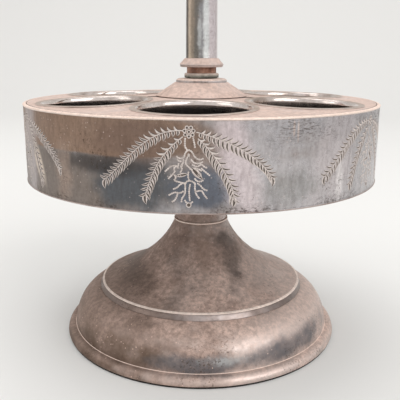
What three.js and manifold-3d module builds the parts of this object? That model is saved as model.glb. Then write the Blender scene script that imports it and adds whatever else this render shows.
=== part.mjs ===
// Revolving cruet stand for six bottles, silver plate on white metal.
// Millimetres, +Z up, origin on the table at the centre of the foot.
// The stand is built up from the table: each piece takes its height from the one that carries it.
import * as THREE from "three";
import { mergeVertices, toCreasedNormals } from "three/addons/utils/BufferGeometryUtils.js";
import Module from "manifold-3d";

const wasm = await Module();
wasm.setup();

// Facets round the turned pieces
const wideFacets = 48;
const wellFacets = 24;
const neckFacets = 28;
const rodFacets = 20;

// Clearances
const seamGap = 0.3; // soldered and lapped joints
const runningGap = 0.3; // between the turning drum and what stands still
const lapGap = 0.05; // solder under what lies on the sloping top plate

// Bottles and their openings
const bottleCount = 6;
const wellRadius = 24.3; // clear opening inside a lip
const collarWall = 1.0;
const collarFlange = 2.7; // how far a lip laps over the plate
const collarLip = 0.5; // height of a lip's crest above the plate
const collarEdge = 0.25; // upright edge round the lip's outside
const collarRoll = 2.4; // how far the lip rolls down from its crest to its upright wall
const collarDepth = 7.0;
const webBetweenLips = 1.6; // plate left between two lips
const seatPocketDepth = 0.6;
const seatPocketRadius = 24.6;

// Drum
const drumHeight = 37.9;
const drumWallThickness = 1.4;
const plateEdgeMargin = 2.7; // plate left outside a lip
const plateThickness = 1.4;
const plateRise = 2.1; // how much higher the plate is at the cone's foot than at its edge
const floorThickness = 1.6;
const floorRecess = 0.7; // how far the floor lies above the drum's lower edge
const topRimHeight = 1.1;
const topRimShoulder = 0.4; // height of its widest circle
const topRimRound = 1.4;
const bottomRimHeight = 1.0;
const rimProud = 0.3;

// Centre of the drum
const coneMargin = 5.8; // plate left between the cone and a lip
const coneHeight = 6.9;
const coneWall = 1.4;
const coneEdge = 0.3; // upright edge at the cone's foot
const coneLedge = 0.6; // cone left outside the disc
const discRadius = 13.2;
const discHeight = 2.0;
const discEdge = 0.9; // upright edge below its rounded shoulder
const discShoulder = 2.4; // how far that shoulder runs inwards
const bushWall = 3.1;
const bossRadius = 20.0;
const bossHeight = 1.9;

// Spindle and what clamps it under the skirt
const spindleRadius = 3.1;
const spindleTail = 2.0; // thread left below the nut
const clampWasherRadius = 10.0;
const clampWasherHeight = 1.2;
const nutAcrossFlats = 11.0;
const nutHeight = 5.0;

// Foot
const bandRadius = 55.6; // foot of the step between dome and skirt
const domeRun = 14.0;
const domeRise = 19.5;
const flangeRun = 4.3;
const flangeHeight = 5.3;
const flangeToe = 1.3; // height of the flange's widest circle
const toeRound = 0.5; // how far the flange draws in below that circle
const rolledEdgeWidth = 5.0; // the turned-under edge that touches the table
const shelfWidth = 7.0; // what the skirt stands on
const spunWall = 1.6;
const domeSwell = { lowRun: 0.06, lowRise: 0.55, highRun: 0.57, highRise: 0.84 }; // shares of run and rise

// Skirt and neck
const bandHeight = 3.2;
const bandTaper = 1.1;
const skirtRise = 32.4;
const skirtSweep = { lowRun: 0.31, lowRise: 0.12, highRun: 0.8, highRise: 0.42 }; // shares of run and rise
const neckRadius = 14.3;
const skirtTopThickness = 1.8;
const neckRingHeight = 1.0;
const neckRingProud = 0.4;
const spoolHeight = 22.8;
const spoolFootRadius = 13.8;
const spoolWaistRadius = 11.0;
const spoolSeatRadius = 21.0;
const spoolSeatHeight = 2.0;
const spoolSpigotRadius = 11.5;
const spoolWaist = { lowRise: 0.3, highRise: 0.75 }; // shares of the rise to the seat
const seatWasherHeight = 1.2;
const seatWasherRadius = 18.0;

// Stack above the drum
const frictionWasherRadius = 8.9;
const frictionWasherHeight = 2.3;
const copperNeckRadius = 7.6;
const copperNeckHeight = 3.1;
const collarBaseRadius = 11.4;
const collarEdgeHeight = 1.3;
const collarBevelHeight = 3.1;
const collarDraft = 0.6; // how far its edge draws in towards the table
const collarShoulder = 0.6; // collar left outside the tube
const spigotHeight = 4.0;

// Post and handle
const postRadius = 8.1;
const postTopRadius = 7.2;
const postWall = 1.0;
const postHeight = 138.0;
const ferruleRadius = 10.4;
const ferruleHeight = 9.0;
const ferruleStraight = 1.4; // upright edge below the ferrule's bevel
const ferruleBead = 1.8; // radius of its rounded edge
const handleBossRadius = 6.6;
const handleBossHeight = 15.0;
const handleBossTaper = 0.75; // top radius as a share of the bottom one
const handleBoreDepth = 9.0;
const handleWidth = 70.0; // between the middles of the loop's bars
const handleHeight = 92.0;
const handleBarRadius = 4.0;
const handleTaper = 0.12; // how much narrower the loop is below than above

// Circles that follow from the sizes above
const boreRadius = spindleRadius + seamGap;
const bushBore = spindleRadius + runningGap;
const bushRadius = bushBore + bushWall;
const bushHole = bushRadius + seamGap;
const collarRadius = wellRadius + collarWall + collarFlange;
const collarHole = wellRadius + collarWall + seamGap;
const pitchRadius = (2 * collarRadius + webBetweenLips) / (2 * Math.sin(Math.PI / bottleCount));
const plateRadius = pitchRadius + collarRadius + plateEdgeMargin;
const drumInside = plateRadius + seamGap;
const drumRadius = drumInside + drumWallThickness;
const coneRadius = pitchRadius - collarRadius - coneMargin;
const domeRadius = bandRadius + domeRun;
const flangeRadius = domeRadius + flangeRun;
const skirtRadius = bandRadius - bandTaper;

// Heights that follow from the sizes above
const domeTop = flangeHeight + domeRise;
const bandTop = domeTop + bandHeight;
const skirtTop = bandTop + skirtRise;
const spoolBase = skirtTop + neckRingHeight;
const spoolTop = spoolBase + spoolHeight;
const seatTop = spoolTop + seatWasherHeight;
const bossBase = seatTop + runningGap;
const floorBase = bossBase + bossHeight;
const drumBase = floorBase - floorRecess;
const plateTop = drumBase + drumHeight;
const coneBase = plateTop + plateRise;
const coneTop = coneBase + coneHeight;
const discTop = coneTop + discHeight;
const frictionBase = discTop + runningGap;
const copperBase = frictionBase + frictionWasherHeight;
const collarBase = copperBase + copperNeckHeight;
const postBase = collarBase + collarEdgeHeight + collarBevelHeight;
const postTop = postBase + postHeight;
const handleBase = postTop + ferruleHeight;
const clampWasherTop = skirtTop - skirtTopThickness;
const nutTop = clampWasherTop - clampWasherHeight;
const spindleBase = nutTop - nutHeight - spindleTail;
const spindleTop = handleBase + handleBoreDepth - seamGap;

// Finishes
function finish(color, roughness, metalness) {
  return new THREE.MeshStandardMaterial({ color, roughness, metalness });
}

const finishes = {
  foot: finish(0x92827a, 0.5, 0.85),
  drum: finish(0x9c989a, 0.3, 0.9),
  plate: finish(0xb8a39b, 0.75, 0.6),
  lip: finish(0xc4bfbb, 0.25, 0.95),
  post: finish(0xbdbbba, 0.2, 0.95),
  copper: finish(0x8b5140, 0.55, 0.8),
  washer: finish(0x5d665c, 0.85, 0.3),
  brass: finish(0xa08555, 0.45, 0.9),
  steel: finish(0x77777a, 0.45, 0.9),
};

// A turned piece from its half section, [radius, height] pairs that run round it anticlockwise
function turned(section, facets) {
  const outline = [...section, section[0]].map(([radius, height]) => new THREE.Vector2(radius, height));
  return new THREE.LatheGeometry(outline, facets).rotateX(Math.PI / 2);
}

// A plain ring between two radii and two heights
function ring(inner, outer, base, top, facets) {
  return turned([[inner, base], [outer, base], [outer, top], [inner, top]], facets);
}

// A solid round bar, standing on its lower radius
function rod(lowerRadius, upperRadius, base, length) {
  return new THREE.CylinderGeometry(upperRadius, lowerRadius, length, rodFacets)
    .rotateX(Math.PI / 2)
    .translate(0, 0, base + length / 2);
}

// Points on part of an ellipse about [radius, height], from one angle to another in degrees
function arc(radius, height, across, up, from, to, steps) {
  return Array.from({ length: steps + 1 }, (_, step) => {
    const angle = THREE.MathUtils.degToRad(from + ((to - from) * step) / steps);
    return [radius + across * Math.cos(angle), height + up * Math.sin(angle)];
  });
}

// Points along a spun wall's curve, moved inwards by a wall thickness
function pointsAlong(curve, steps, inwards = 0) {
  return Array.from({ length: steps + 1 }, (_, step) => {
    const point = curve.getPoint(step / steps);
    const tangent = curve.getTangent(step / steps);
    return [point.x - inwards * tangent.y, point.y + inwards * tangent.x];
  });
}

// Corners of a regular outline about a point
function regularOutline(radius, corners, x = 0, y = 0) {
  return Array.from({ length: corners }, (_, corner) => {
    const angle = (2 * Math.PI * corner) / corners - Math.PI / 2;
    return new THREE.Vector2(x + radius * Math.cos(angle), y + radius * Math.sin(angle));
  });
}

// A flat plate with holes, from its underside to its top
function plate(outline, holes, base, thickness) {
  const shape = new THREE.Shape(outline);
  shape.holes = holes.map((hole) => new THREE.Path(hole));
  return new THREE.ExtrudeGeometry(shape, { depth: thickness, bevelEnabled: false }).translate(0, 0, base);
}

// Cutting and joining
function solidOf(geometry) {
  const bare = geometry.clone();
  bare.deleteAttribute("normal");
  bare.deleteAttribute("uv");
  const merged = mergeVertices(bare);
  return new wasm.Manifold(
    new wasm.Mesh({
      numProp: 3,
      vertProperties: merged.attributes.position.array,
      triVerts: new Uint32Array(merged.index.array),
    }),
  );
}

function geometryOf(solid) {
  const mesh = solid.getMesh();
  const geometry = new THREE.BufferGeometry();
  geometry.setAttribute("position", new THREE.BufferAttribute(mesh.vertProperties, 3));
  geometry.setIndex(new THREE.BufferAttribute(mesh.triVerts, 1));
  return toCreasedNormals(geometry, Math.PI / 6);
}

// Where the openings stand round the drum, the first one at the front
function wellPlaces() {
  return Array.from({ length: bottleCount }, (_, index) => {
    const angle = (2 * Math.PI * index) / bottleCount - Math.PI / 2;
    return [pitchRadius * Math.cos(angle), pitchRadius * Math.sin(angle)];
  });
}

// How far the top plate has risen above its edge, at a distance from the axis
function riseAt(distance) {
  return (plateRise * (plateRadius - distance)) / (plateRadius - coneRadius);
}

// Lifts a flat piece on to the top plate's slope
function onSlope(geometry) {
  const place = geometry.attributes.position;
  for (let corner = 0; corner < place.count; corner += 1) {
    const distance = Math.hypot(place.getX(corner), place.getY(corner));
    place.setZ(corner, place.getZ(corner) + riseAt(distance));
  }
  return geometry;
}

// Foot: rounded flange, bulging dome, and a flat shelf on which the skirt stands
function footShell() {
  const dome = new THREE.CubicBezierCurve(
    new THREE.Vector2(domeRadius, flangeHeight),
    new THREE.Vector2(domeRadius - domeSwell.lowRun * domeRun, flangeHeight + domeSwell.lowRise * domeRise),
    new THREE.Vector2(bandRadius + domeSwell.highRun * domeRun, flangeHeight + domeSwell.highRise * domeRise),
    new THREE.Vector2(bandRadius, domeTop),
  );
  const contactRadius = flangeRadius - toeRound;
  return turned(
    [
      [contactRadius - rolledEdgeWidth, 0],
      [contactRadius, 0],
      ...arc(domeRadius, flangeToe, flangeRun, flangeHeight - flangeToe, 0, 66, 3),
      ...pointsAlong(dome, 6),
      [bandRadius - shelfWidth, domeTop],
      [bandRadius - shelfWidth, domeTop - spunWall],
      ...pointsAlong(dome, 3, spunWall).reverse(),
      [contactRadius - rolledEdgeWidth, flangeHeight - flangeToe],
    ],
    wideFacets,
  );
}

// Skirt: upright band, then a trumpet sweep to a closed top with a hole for the spindle
function pedestalSkirt() {
  const run = skirtRadius - neckRadius;
  const sweep = new THREE.CubicBezierCurve(
    new THREE.Vector2(skirtRadius, bandTop),
    new THREE.Vector2(skirtRadius - skirtSweep.lowRun * run, bandTop + skirtSweep.lowRise * skirtRise),
    new THREE.Vector2(skirtRadius - skirtSweep.highRun * run, bandTop + skirtSweep.highRise * skirtRise),
    new THREE.Vector2(neckRadius, skirtTop),
  );
  const underside = skirtTop - skirtTopThickness;
  const inside = pointsAlong(sweep, 5, spunWall).filter(([, height]) => height < underside - spunWall);
  const [lastRadius] = inside.at(-1);
  return turned(
    [
      [bandRadius, domeTop],
      ...pointsAlong(sweep, 8),
      [boreRadius, skirtTop],
      [boreRadius, underside],
      [Math.min(lastRadius, neckRadius - spunWall), underside],
      ...inside.reverse(),
      [skirtRadius - spunWall, domeTop],
    ],
    wideFacets,
  );
}

// Thin bright ring between skirt and neck
function neckRing() {
  const outer = neckRadius + neckRingProud - neckRingHeight / 2;
  const middle = skirtTop + neckRingHeight / 2;
  return turned(
    [
      [spoolSpigotRadius + seamGap, skirtTop],
      ...arc(outer, middle, neckRingHeight / 2, neckRingHeight / 2, -90, 90, 2),
      [spoolSpigotRadius + seamGap, spoolBase],
    ],
    neckFacets,
  );
}

// Neck: waisted spool that widens to the seat under the drum, with a spigot through the ring
function spoolNeck() {
  const seatBase = spoolTop - spoolSeatHeight;
  const rise = seatBase - spoolBase;
  const waist = new THREE.CubicBezierCurve(
    new THREE.Vector2(spoolFootRadius, spoolBase),
    new THREE.Vector2(spoolWaistRadius, spoolBase + spoolWaist.lowRise * rise),
    new THREE.Vector2(spoolWaistRadius, spoolBase + spoolWaist.highRise * rise),
    new THREE.Vector2(spoolSeatRadius - spoolSeatHeight / 2, seatBase),
  );
  return turned(
    [
      [boreRadius, skirtTop],
      [spoolSpigotRadius, skirtTop],
      [spoolSpigotRadius, spoolBase],
      ...pointsAlong(waist, 6),
      [spoolSeatRadius, seatBase + spoolSeatHeight / 2],
      [spoolSeatRadius, spoolTop],
      [boreRadius, spoolTop],
    ],
    neckFacets,
  );
}

// Spindle through the whole stack
function spindle() {
  return rod(spindleRadius, spindleRadius, spindleBase, spindleTop - spindleBase);
}

// Hexagon nut that draws the stack together
function clampNut() {
  const acrossCorners = nutAcrossFlats / Math.cos(Math.PI / 6);
  return plate(
    regularOutline(acrossCorners / 2, 6),
    [regularOutline(boreRadius, rodFacets)],
    nutTop - nutHeight,
    nutHeight,
  );
}

// Bevelled collar under the post, with the spigot that holds the tube upright
function postCollar() {
  const spigotRadius = postRadius - postWall - seamGap;
  return turned(
    [
      [boreRadius, collarBase],
      [collarBaseRadius - collarDraft, collarBase],
      [collarBaseRadius, collarBase + collarEdgeHeight],
      [postRadius + collarShoulder, postBase],
      [spigotRadius, postBase],
      [spigotRadius, postBase + spigotHeight],
      [boreRadius, postBase + spigotHeight],
    ],
    neckFacets,
  );
}

// Plain tapering tube
function postTube() {
  return turned(
    [
      [postRadius - postWall, postBase],
      [postRadius, postBase],
      [postTopRadius, postTop],
      [postTopRadius - postWall, postTop],
    ],
    neckFacets,
  );
}

// Turned piece that closes the tube: a spigot, a bevel like the lower collar's, and a rounded edge
function handleFerrule() {
  const spigotRadius = postTopRadius - postWall - seamGap;
  const beadMiddle = handleBase - ferruleBead;
  return turned(
    [
      [boreRadius, postTop - spigotHeight],
      [spigotRadius, postTop - spigotHeight],
      [spigotRadius, postTop],
      [postTopRadius + collarShoulder, postTop],
      [postTopRadius + collarShoulder, postTop + ferruleStraight],
      ...arc(ferruleRadius - ferruleBead, beadMiddle, ferruleBead, ferruleBead, -60, 90, 3),
      [handleBossRadius, handleBase],
      [boreRadius, handleBase],
    ],
    neckFacets,
  );
}

// Carrying loop: an upright ring drawn in below, joined to the boss that screws on to the spindle
function handleLoop() {
  const middle = handleBase + handleBossHeight - handleBarRadius + handleHeight / 2;
  const loop = new THREE.TorusGeometry(1, handleBarRadius / (handleHeight / 2), 8, 40);
  const place = loop.attributes.position;
  for (let corner = 0; corner < place.count; corner += 1) {
    const across = place.getX(corner);
    const up = place.getY(corner);
    const through = place.getZ(corner);
    const width = (handleWidth / 2) * (1 + handleTaper * up);
    place.setXYZ(corner, across * width, -through * (handleHeight / 2), middle + (up * handleHeight) / 2);
  }
  const boss = rod(handleBossRadius, handleBossTaper * handleBossRadius, handleBase, handleBossHeight);
  const bore = rod(boreRadius, boreRadius, handleBase - seamGap, seamGap + handleBoreDepth);
  return geometryOf(solidOf(loop).add(solidOf(boss)).subtract(solidOf(bore)));
}

// Wall of the drum
function drumWall() {
  return ring(drumInside, drumRadius, drumBase + bottomRimHeight, plateTop - topRimHeight, wideFacets);
}

// Rounded wire on the wall's upper edge
function topRim() {
  const base = plateTop - topRimHeight;
  const shoulder = base + topRimShoulder;
  return turned(
    [
      [drumInside, base],
      [drumRadius, base],
      ...arc(drumRadius + rimProud - topRimRound, shoulder, topRimRound, plateTop - shoulder, 0, 90, 3),
      [drumInside, plateTop],
    ],
    wideFacets,
  );
}

// Thin wire on the wall's lower edge
function bottomRim() {
  const half = bottomRimHeight / 2;
  return turned(
    [
      [drumInside, drumBase],
      ...arc(drumRadius, drumBase + half, rimProud, half, -90, 90, 2),
      [drumInside, drumBase + bottomRimHeight],
    ],
    wideFacets,
  );
}

// Top plate, which rises a little towards the cone, with an opening for each bottle
function topPlate() {
  const openings = wellPlaces().map(([x, y]) => regularOutline(collarHole, wellFacets, x, y));
  const sheet = plate(
    regularOutline(plateRadius, wideFacets),
    [...openings, regularOutline(bushHole, rodFacets)],
    plateTop - plateThickness,
    plateThickness,
  );
  return onSlope(sheet);
}

// Floor plate with a shallow seat pressed for each bottle
function floorPlate() {
  const sheet = plate(
    regularOutline(plateRadius, wideFacets),
    [regularOutline(bushHole, rodFacets)],
    floorBase,
    floorThickness,
  );
  const pockets = wellPlaces().map(([x, y]) => {
    const outline = regularOutline(seatPocketRadius, wellFacets, x, y);
    return plate(outline, [], floorBase + floorThickness - seatPocketDepth, 2 * seatPocketDepth);
  });
  return geometryOf(pockets.reduce((cut, pocket) => cut.subtract(solidOf(pocket)), solidOf(sheet)));
}

// Lip of one opening: laps over the plate, rolls down into the hole and ends as a short sleeve
function wellCollar(x, y) {
  const base = plateTop + lapGap;
  const crest = base + collarLip;
  const halfWidth = (collarWall + collarFlange) / 2;
  const middle = wellRadius + halfWidth;
  const lip = turned(
    [
      [wellRadius, plateTop - collarDepth],
      [wellRadius + collarWall, plateTop - collarDepth],
      [wellRadius + collarWall, base],
      [collarRadius, base],
      ...arc(middle, base + collarEdge, halfWidth, collarLip - collarEdge, 0, 90, 2),
      ...arc(middle, crest - collarRoll, halfWidth, collarRoll, 90, 180, 2).slice(1),
    ],
    wellFacets,
  );
  return onSlope(lip.translate(x, y, 0));
}

// Low cone over the middle of the top plate
function centreCone() {
  const underside = coneTop - coneWall;
  const innerFoot = coneRadius - 2 * coneWall;
  const topRadius = discRadius + coneLedge;
  return turned(
    [
      [innerFoot, plateTop + riseAt(innerFoot) + lapGap],
      [coneRadius, coneBase + lapGap],
      [coneRadius, coneBase + coneEdge],
      [topRadius, coneTop],
      [bushHole, coneTop],
      [bushHole, underside],
      [topRadius - coneWall / 2, underside],
    ],
    neckFacets,
  );
}

// Disc with a rounded shoulder above an upright edge
function mouldedDisc() {
  const edgeTop = coneTop + discEdge;
  return turned(
    [
      [bushBore, coneTop],
      [discRadius, coneTop],
      ...arc(discRadius - discShoulder, edgeTop, discShoulder, discTop - edgeTop, 0, 90, 3),
      [bushBore, discTop],
    ],
    neckFacets,
  );
}

function named(name, geometry, material) {
  const mesh = new THREE.Mesh(geometry, material);
  mesh.name = name;
  return mesh;
}

const clampWasher = ring(boreRadius, clampWasherRadius, nutTop, clampWasherTop, rodFacets);
const seatWasher = ring(boreRadius, seatWasherRadius, spoolTop, seatTop, neckFacets);
const frictionWasher = ring(boreRadius, frictionWasherRadius, frictionBase, copperBase, neckFacets);
const copperNeck = ring(boreRadius, copperNeckRadius, copperBase, collarBase, neckFacets);

const stand = new THREE.Group();
stand.add(
  named("foot_shell", footShell(), finishes.foot),
  named("pedestal_skirt", pedestalSkirt(), finishes.foot),
  named("neck_ring", neckRing(), finishes.lip),
  named("spool_neck", spoolNeck(), finishes.foot),
  named("seat_washer", seatWasher, finishes.brass),
  named("spindle", spindle(), finishes.steel),
  named("clamp_washer", clampWasher, finishes.steel),
  named("clamp_nut", clampNut(), finishes.steel),
  named("friction_washer", frictionWasher, finishes.washer),
  named("copper_neck", copperNeck, finishes.copper),
  named("post_collar", postCollar(), finishes.plate),
  named("post_tube", postTube(), finishes.post),
  named("handle_ferrule", handleFerrule(), finishes.post),
  named("handle_loop", handleLoop(), finishes.post),
);

const drumBush = ring(bushBore, bushRadius, bossBase, coneTop, rodFacets);
const drumBoss = ring(bushHole, bossRadius, bossBase, floorBase, neckFacets);

const carousel = new THREE.Group();
carousel.add(
  named("drum_wall", drumWall(), finishes.drum),
  named("top_rim", topRim(), finishes.lip),
  named("bottom_rim", bottomRim(), finishes.lip),
  named("top_plate", topPlate(), finishes.plate),
  named("floor_plate", floorPlate(), finishes.plate),
  named("centre_cone", centreCone(), finishes.plate),
  named("moulded_disc", mouldedDisc(), finishes.plate),
  named("drum_bush", drumBush, finishes.brass),
  named("drum_boss", drumBoss, finishes.brass),
);
wellPlaces().forEach(([x, y], index) => {
  carousel.add(named(`well_collar_${index + 1}`, wellCollar(x, y), finishes.lip));
});

const cruetStand = new THREE.Group();
cruetStand.name = "cruet_stand";
cruetStand.add(stand, carousel);

export default cruetStand;
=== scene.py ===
"""Looks of a revolving cruet stand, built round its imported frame.

Sizes are in millimetres until a mesh is made. The opening nearest the viewer is the first one, at -Y.
Every turned piece is a fine copy of the frame's own node, and the fern engraving is cut strokes that
lie on the wall of the drum.
"""
import logging
import math
import random
from collections.abc import Callable, Iterable, Sequence
from dataclasses import dataclass, field, replace
from enum import Enum, IntEnum
from typing import Any

import bmesh
import bpy
from mathutils import Matrix, Vector
from mathutils.geometry import tessellate_polygon


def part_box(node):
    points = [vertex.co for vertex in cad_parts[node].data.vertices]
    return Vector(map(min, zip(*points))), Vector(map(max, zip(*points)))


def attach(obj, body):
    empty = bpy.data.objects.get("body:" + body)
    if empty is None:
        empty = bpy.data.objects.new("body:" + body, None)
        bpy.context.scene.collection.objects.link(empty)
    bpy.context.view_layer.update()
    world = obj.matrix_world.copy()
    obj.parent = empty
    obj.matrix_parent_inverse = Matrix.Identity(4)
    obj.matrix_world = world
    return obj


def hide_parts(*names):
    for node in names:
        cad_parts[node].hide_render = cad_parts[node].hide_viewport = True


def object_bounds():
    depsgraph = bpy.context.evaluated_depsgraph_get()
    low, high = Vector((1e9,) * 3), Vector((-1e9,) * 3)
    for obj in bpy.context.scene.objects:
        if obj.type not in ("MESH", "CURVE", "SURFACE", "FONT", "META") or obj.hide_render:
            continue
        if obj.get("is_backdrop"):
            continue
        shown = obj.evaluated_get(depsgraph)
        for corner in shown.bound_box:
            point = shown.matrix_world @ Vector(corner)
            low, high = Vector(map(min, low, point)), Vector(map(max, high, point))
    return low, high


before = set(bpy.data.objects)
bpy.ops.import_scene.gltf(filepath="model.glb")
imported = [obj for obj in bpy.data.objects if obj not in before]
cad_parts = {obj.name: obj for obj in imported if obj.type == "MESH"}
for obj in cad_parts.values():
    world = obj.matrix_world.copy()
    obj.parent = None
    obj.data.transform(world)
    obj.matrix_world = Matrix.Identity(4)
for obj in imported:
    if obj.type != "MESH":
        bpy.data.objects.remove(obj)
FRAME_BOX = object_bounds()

LOG = logging.getLogger("cruet_stand")
MM = 0.001
TINY = 1e-9

# Radii that several pieces share: the bore round the rod, the hole for its bush and the handle's boss.
ROD_BORE = 3.4
BUSH_HOLE = 6.8
HANDLE_BOSS = 6.6

Pair = tuple[float, float]
Triple = tuple[float, float, float]
Section = list[Pair]
Chooser = Callable[[Vector, Vector], int]


class Body(Enum):
    """The frame's two bodies."""

    STAND = "stand"
    CAROUSEL = "carousel"


class Slot(Enum):
    """The record's material slots."""

    FOOT = "foot_silver"
    DRUM = "drum_silver"
    DUSTY = "dusty_silver"
    LIP = "lip_silver"
    POST = "post_silver"
    COPPER = "bare_copper"
    WASHER = "green_washer"
    BRASS = "bearing_brass"
    STEEL = "spindle_steel"


class Facets(Enum):
    """How finely a turned piece is divided, by its width."""

    WIDE = 288
    MIDDLE = 112
    NARROW = 64


class Coat(IntEnum):
    """The coats of the foot's pieces, in the order of their finishes."""

    PLAIN = 0
    INSIDE = 1
    LINE = 2
    BAND = 3


def seen(red: float, green: float, blue: float) -> Triple:
    """Turns the shares of red, green and blue that an eye sees into a shader's linear ones."""
    lift, gamma = 0.055, 2.4
    return tuple(((share + lift) / (1 + lift)) ** gamma for share in (red, green, blue))


@dataclass(frozen=True)
class Extent:
    """How far a node of the frame reaches, in millimetres.

    Attributes:
        radius: Widest circle about the node's own middle.
        base: Lowest height.
        top: Highest height.
        centre: Middle of the node, seen from above.
    """

    radius: float
    base: float
    top: float
    centre: Pair

    @classmethod
    def of(cls, node: str) -> "Extent":
        """Reads a node's extent from the frame.

        Args:
            node: Name of the frame's node.

        Returns:
            Its extent.
        """
        low, high = (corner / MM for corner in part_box(node))
        middle = (low + high) / 2
        return cls((high.y - low.y) / 2, low.z, high.z, (middle.x, middle.y))

    def ring(self, bore: float) -> Section:
        """Gives the half section of a plain ring that fills the extent round a bore."""
        return [(bore, self.base), (self.radius, self.base), (self.radius, self.top), (bore, self.top)]


@dataclass(frozen=True)
class Sweep:
    """A smooth curve between two points, drawn by two pulls."""

    start: Pair
    start_pull: Pair
    end_pull: Pair
    end: Pair

    def at(self, share: float) -> Pair:
        """Gives one point of the curve.

        Args:
            share: Share of the way along, from 0 to 1.

        Returns:
            The point.
        """
        rest = 1 - share
        weights = (rest**3, 3 * rest**2 * share, 3 * rest * share**2, share**3)
        corners = (self.start, self.start_pull, self.end_pull, self.end)
        return tuple(sum(w * corner[axis] for w, corner in zip(weights, corners)) for axis in (0, 1))

    def heading(self, share: float) -> Pair:
        """Gives the direction of travel at one point.

        Args:
            share: Share of the way along, from 0 to 1.

        Returns:
            The direction, one unit long.
        """
        step = 0.001
        (x0, y0), (x1, y1) = self.at(max(0.0, share - step)), self.at(min(1.0, share + step))
        length = math.hypot(x1 - x0, y1 - y0)
        return (x1 - x0) / length, (y1 - y0) / length

    def points(self, steps: int, inwards: float = 0.0) -> Section:
        """Lists points along the curve.

        Args:
            steps: Number of equal steps.
            inwards: How far the points are moved to the left of the direction of travel.

        Returns:
            The points, both ends included.
        """
        line = []
        for step in range(steps + 1):
            share = step / steps
            (x, y), (along, up) = self.at(share), self.heading(share)
            line.append((x - inwards * up, y + inwards * along))
        return line


def arc(middle: Pair, across: float, up: float, start: float, end: float, steps: int = 8) -> Section:
    """Lists points on part of an ellipse.

    Args:
        middle: Middle of the ellipse.
        across: Its half width.
        up: Its half height.
        start: First angle, in degrees.
        end: Last angle, in degrees.
        steps: Number of equal steps.

    Returns:
        The points, both ends included.
    """
    angles = [math.radians(start + (end - start) * step / steps) for step in range(steps + 1)]
    return [(middle[0] + across * math.cos(a), middle[1] + up * math.sin(a)) for a in angles]


def circle(radius: float, corners: int, middle: Pair = (0.0, 0.0)) -> Section:
    """Lists the corners of a circle.

    Args:
        radius: Its radius.
        corners: Number of corners.
        middle: Its middle.

    Returns:
        The corners, the first one at its lowest point.
    """
    turn = 2 * math.pi / corners
    angles = [turn * corner - math.pi / 2 for corner in range(corners)]
    return [(middle[0] + radius * math.cos(a), middle[1] + radius * math.sin(a)) for a in angles]


def soften(section: Section, radius: float = 0.15, steps: int = 3, sharp: float = 24.0) -> Section:
    """Rounds the sharp corners of a closed section.

    Args:
        section: Corners of the section.
        radius: Distance from a corner at which its round starts.
        steps: Steps in one round.
        sharp: Smallest turn that counts as sharp, in degrees.

    Returns:
        The section with rounds in place of its sharp corners.
    """
    side_share = 0.45
    soft: Section = []
    count = len(section)
    for index, place in enumerate(section):
        corner = Vector(place)
        back = Vector(section[index - 1]) - corner
        ahead = Vector(section[(index + 1) % count]) - corner
        if min(back.length, ahead.length) < TINY:
            continue
        if math.degrees(math.pi - back.angle(ahead)) < sharp:
            soft.append(place)
            continue
        reach = min(radius, side_share * back.length, side_share * ahead.length)
        first, last = corner + back.normalized() * reach, corner + ahead.normalized() * reach
        for step in range(steps + 1):
            share = step / steps
            point = first.lerp(corner, share).lerp(corner.lerp(last, share), share)
            soft.append((point.x, point.y))
    return soft


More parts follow.
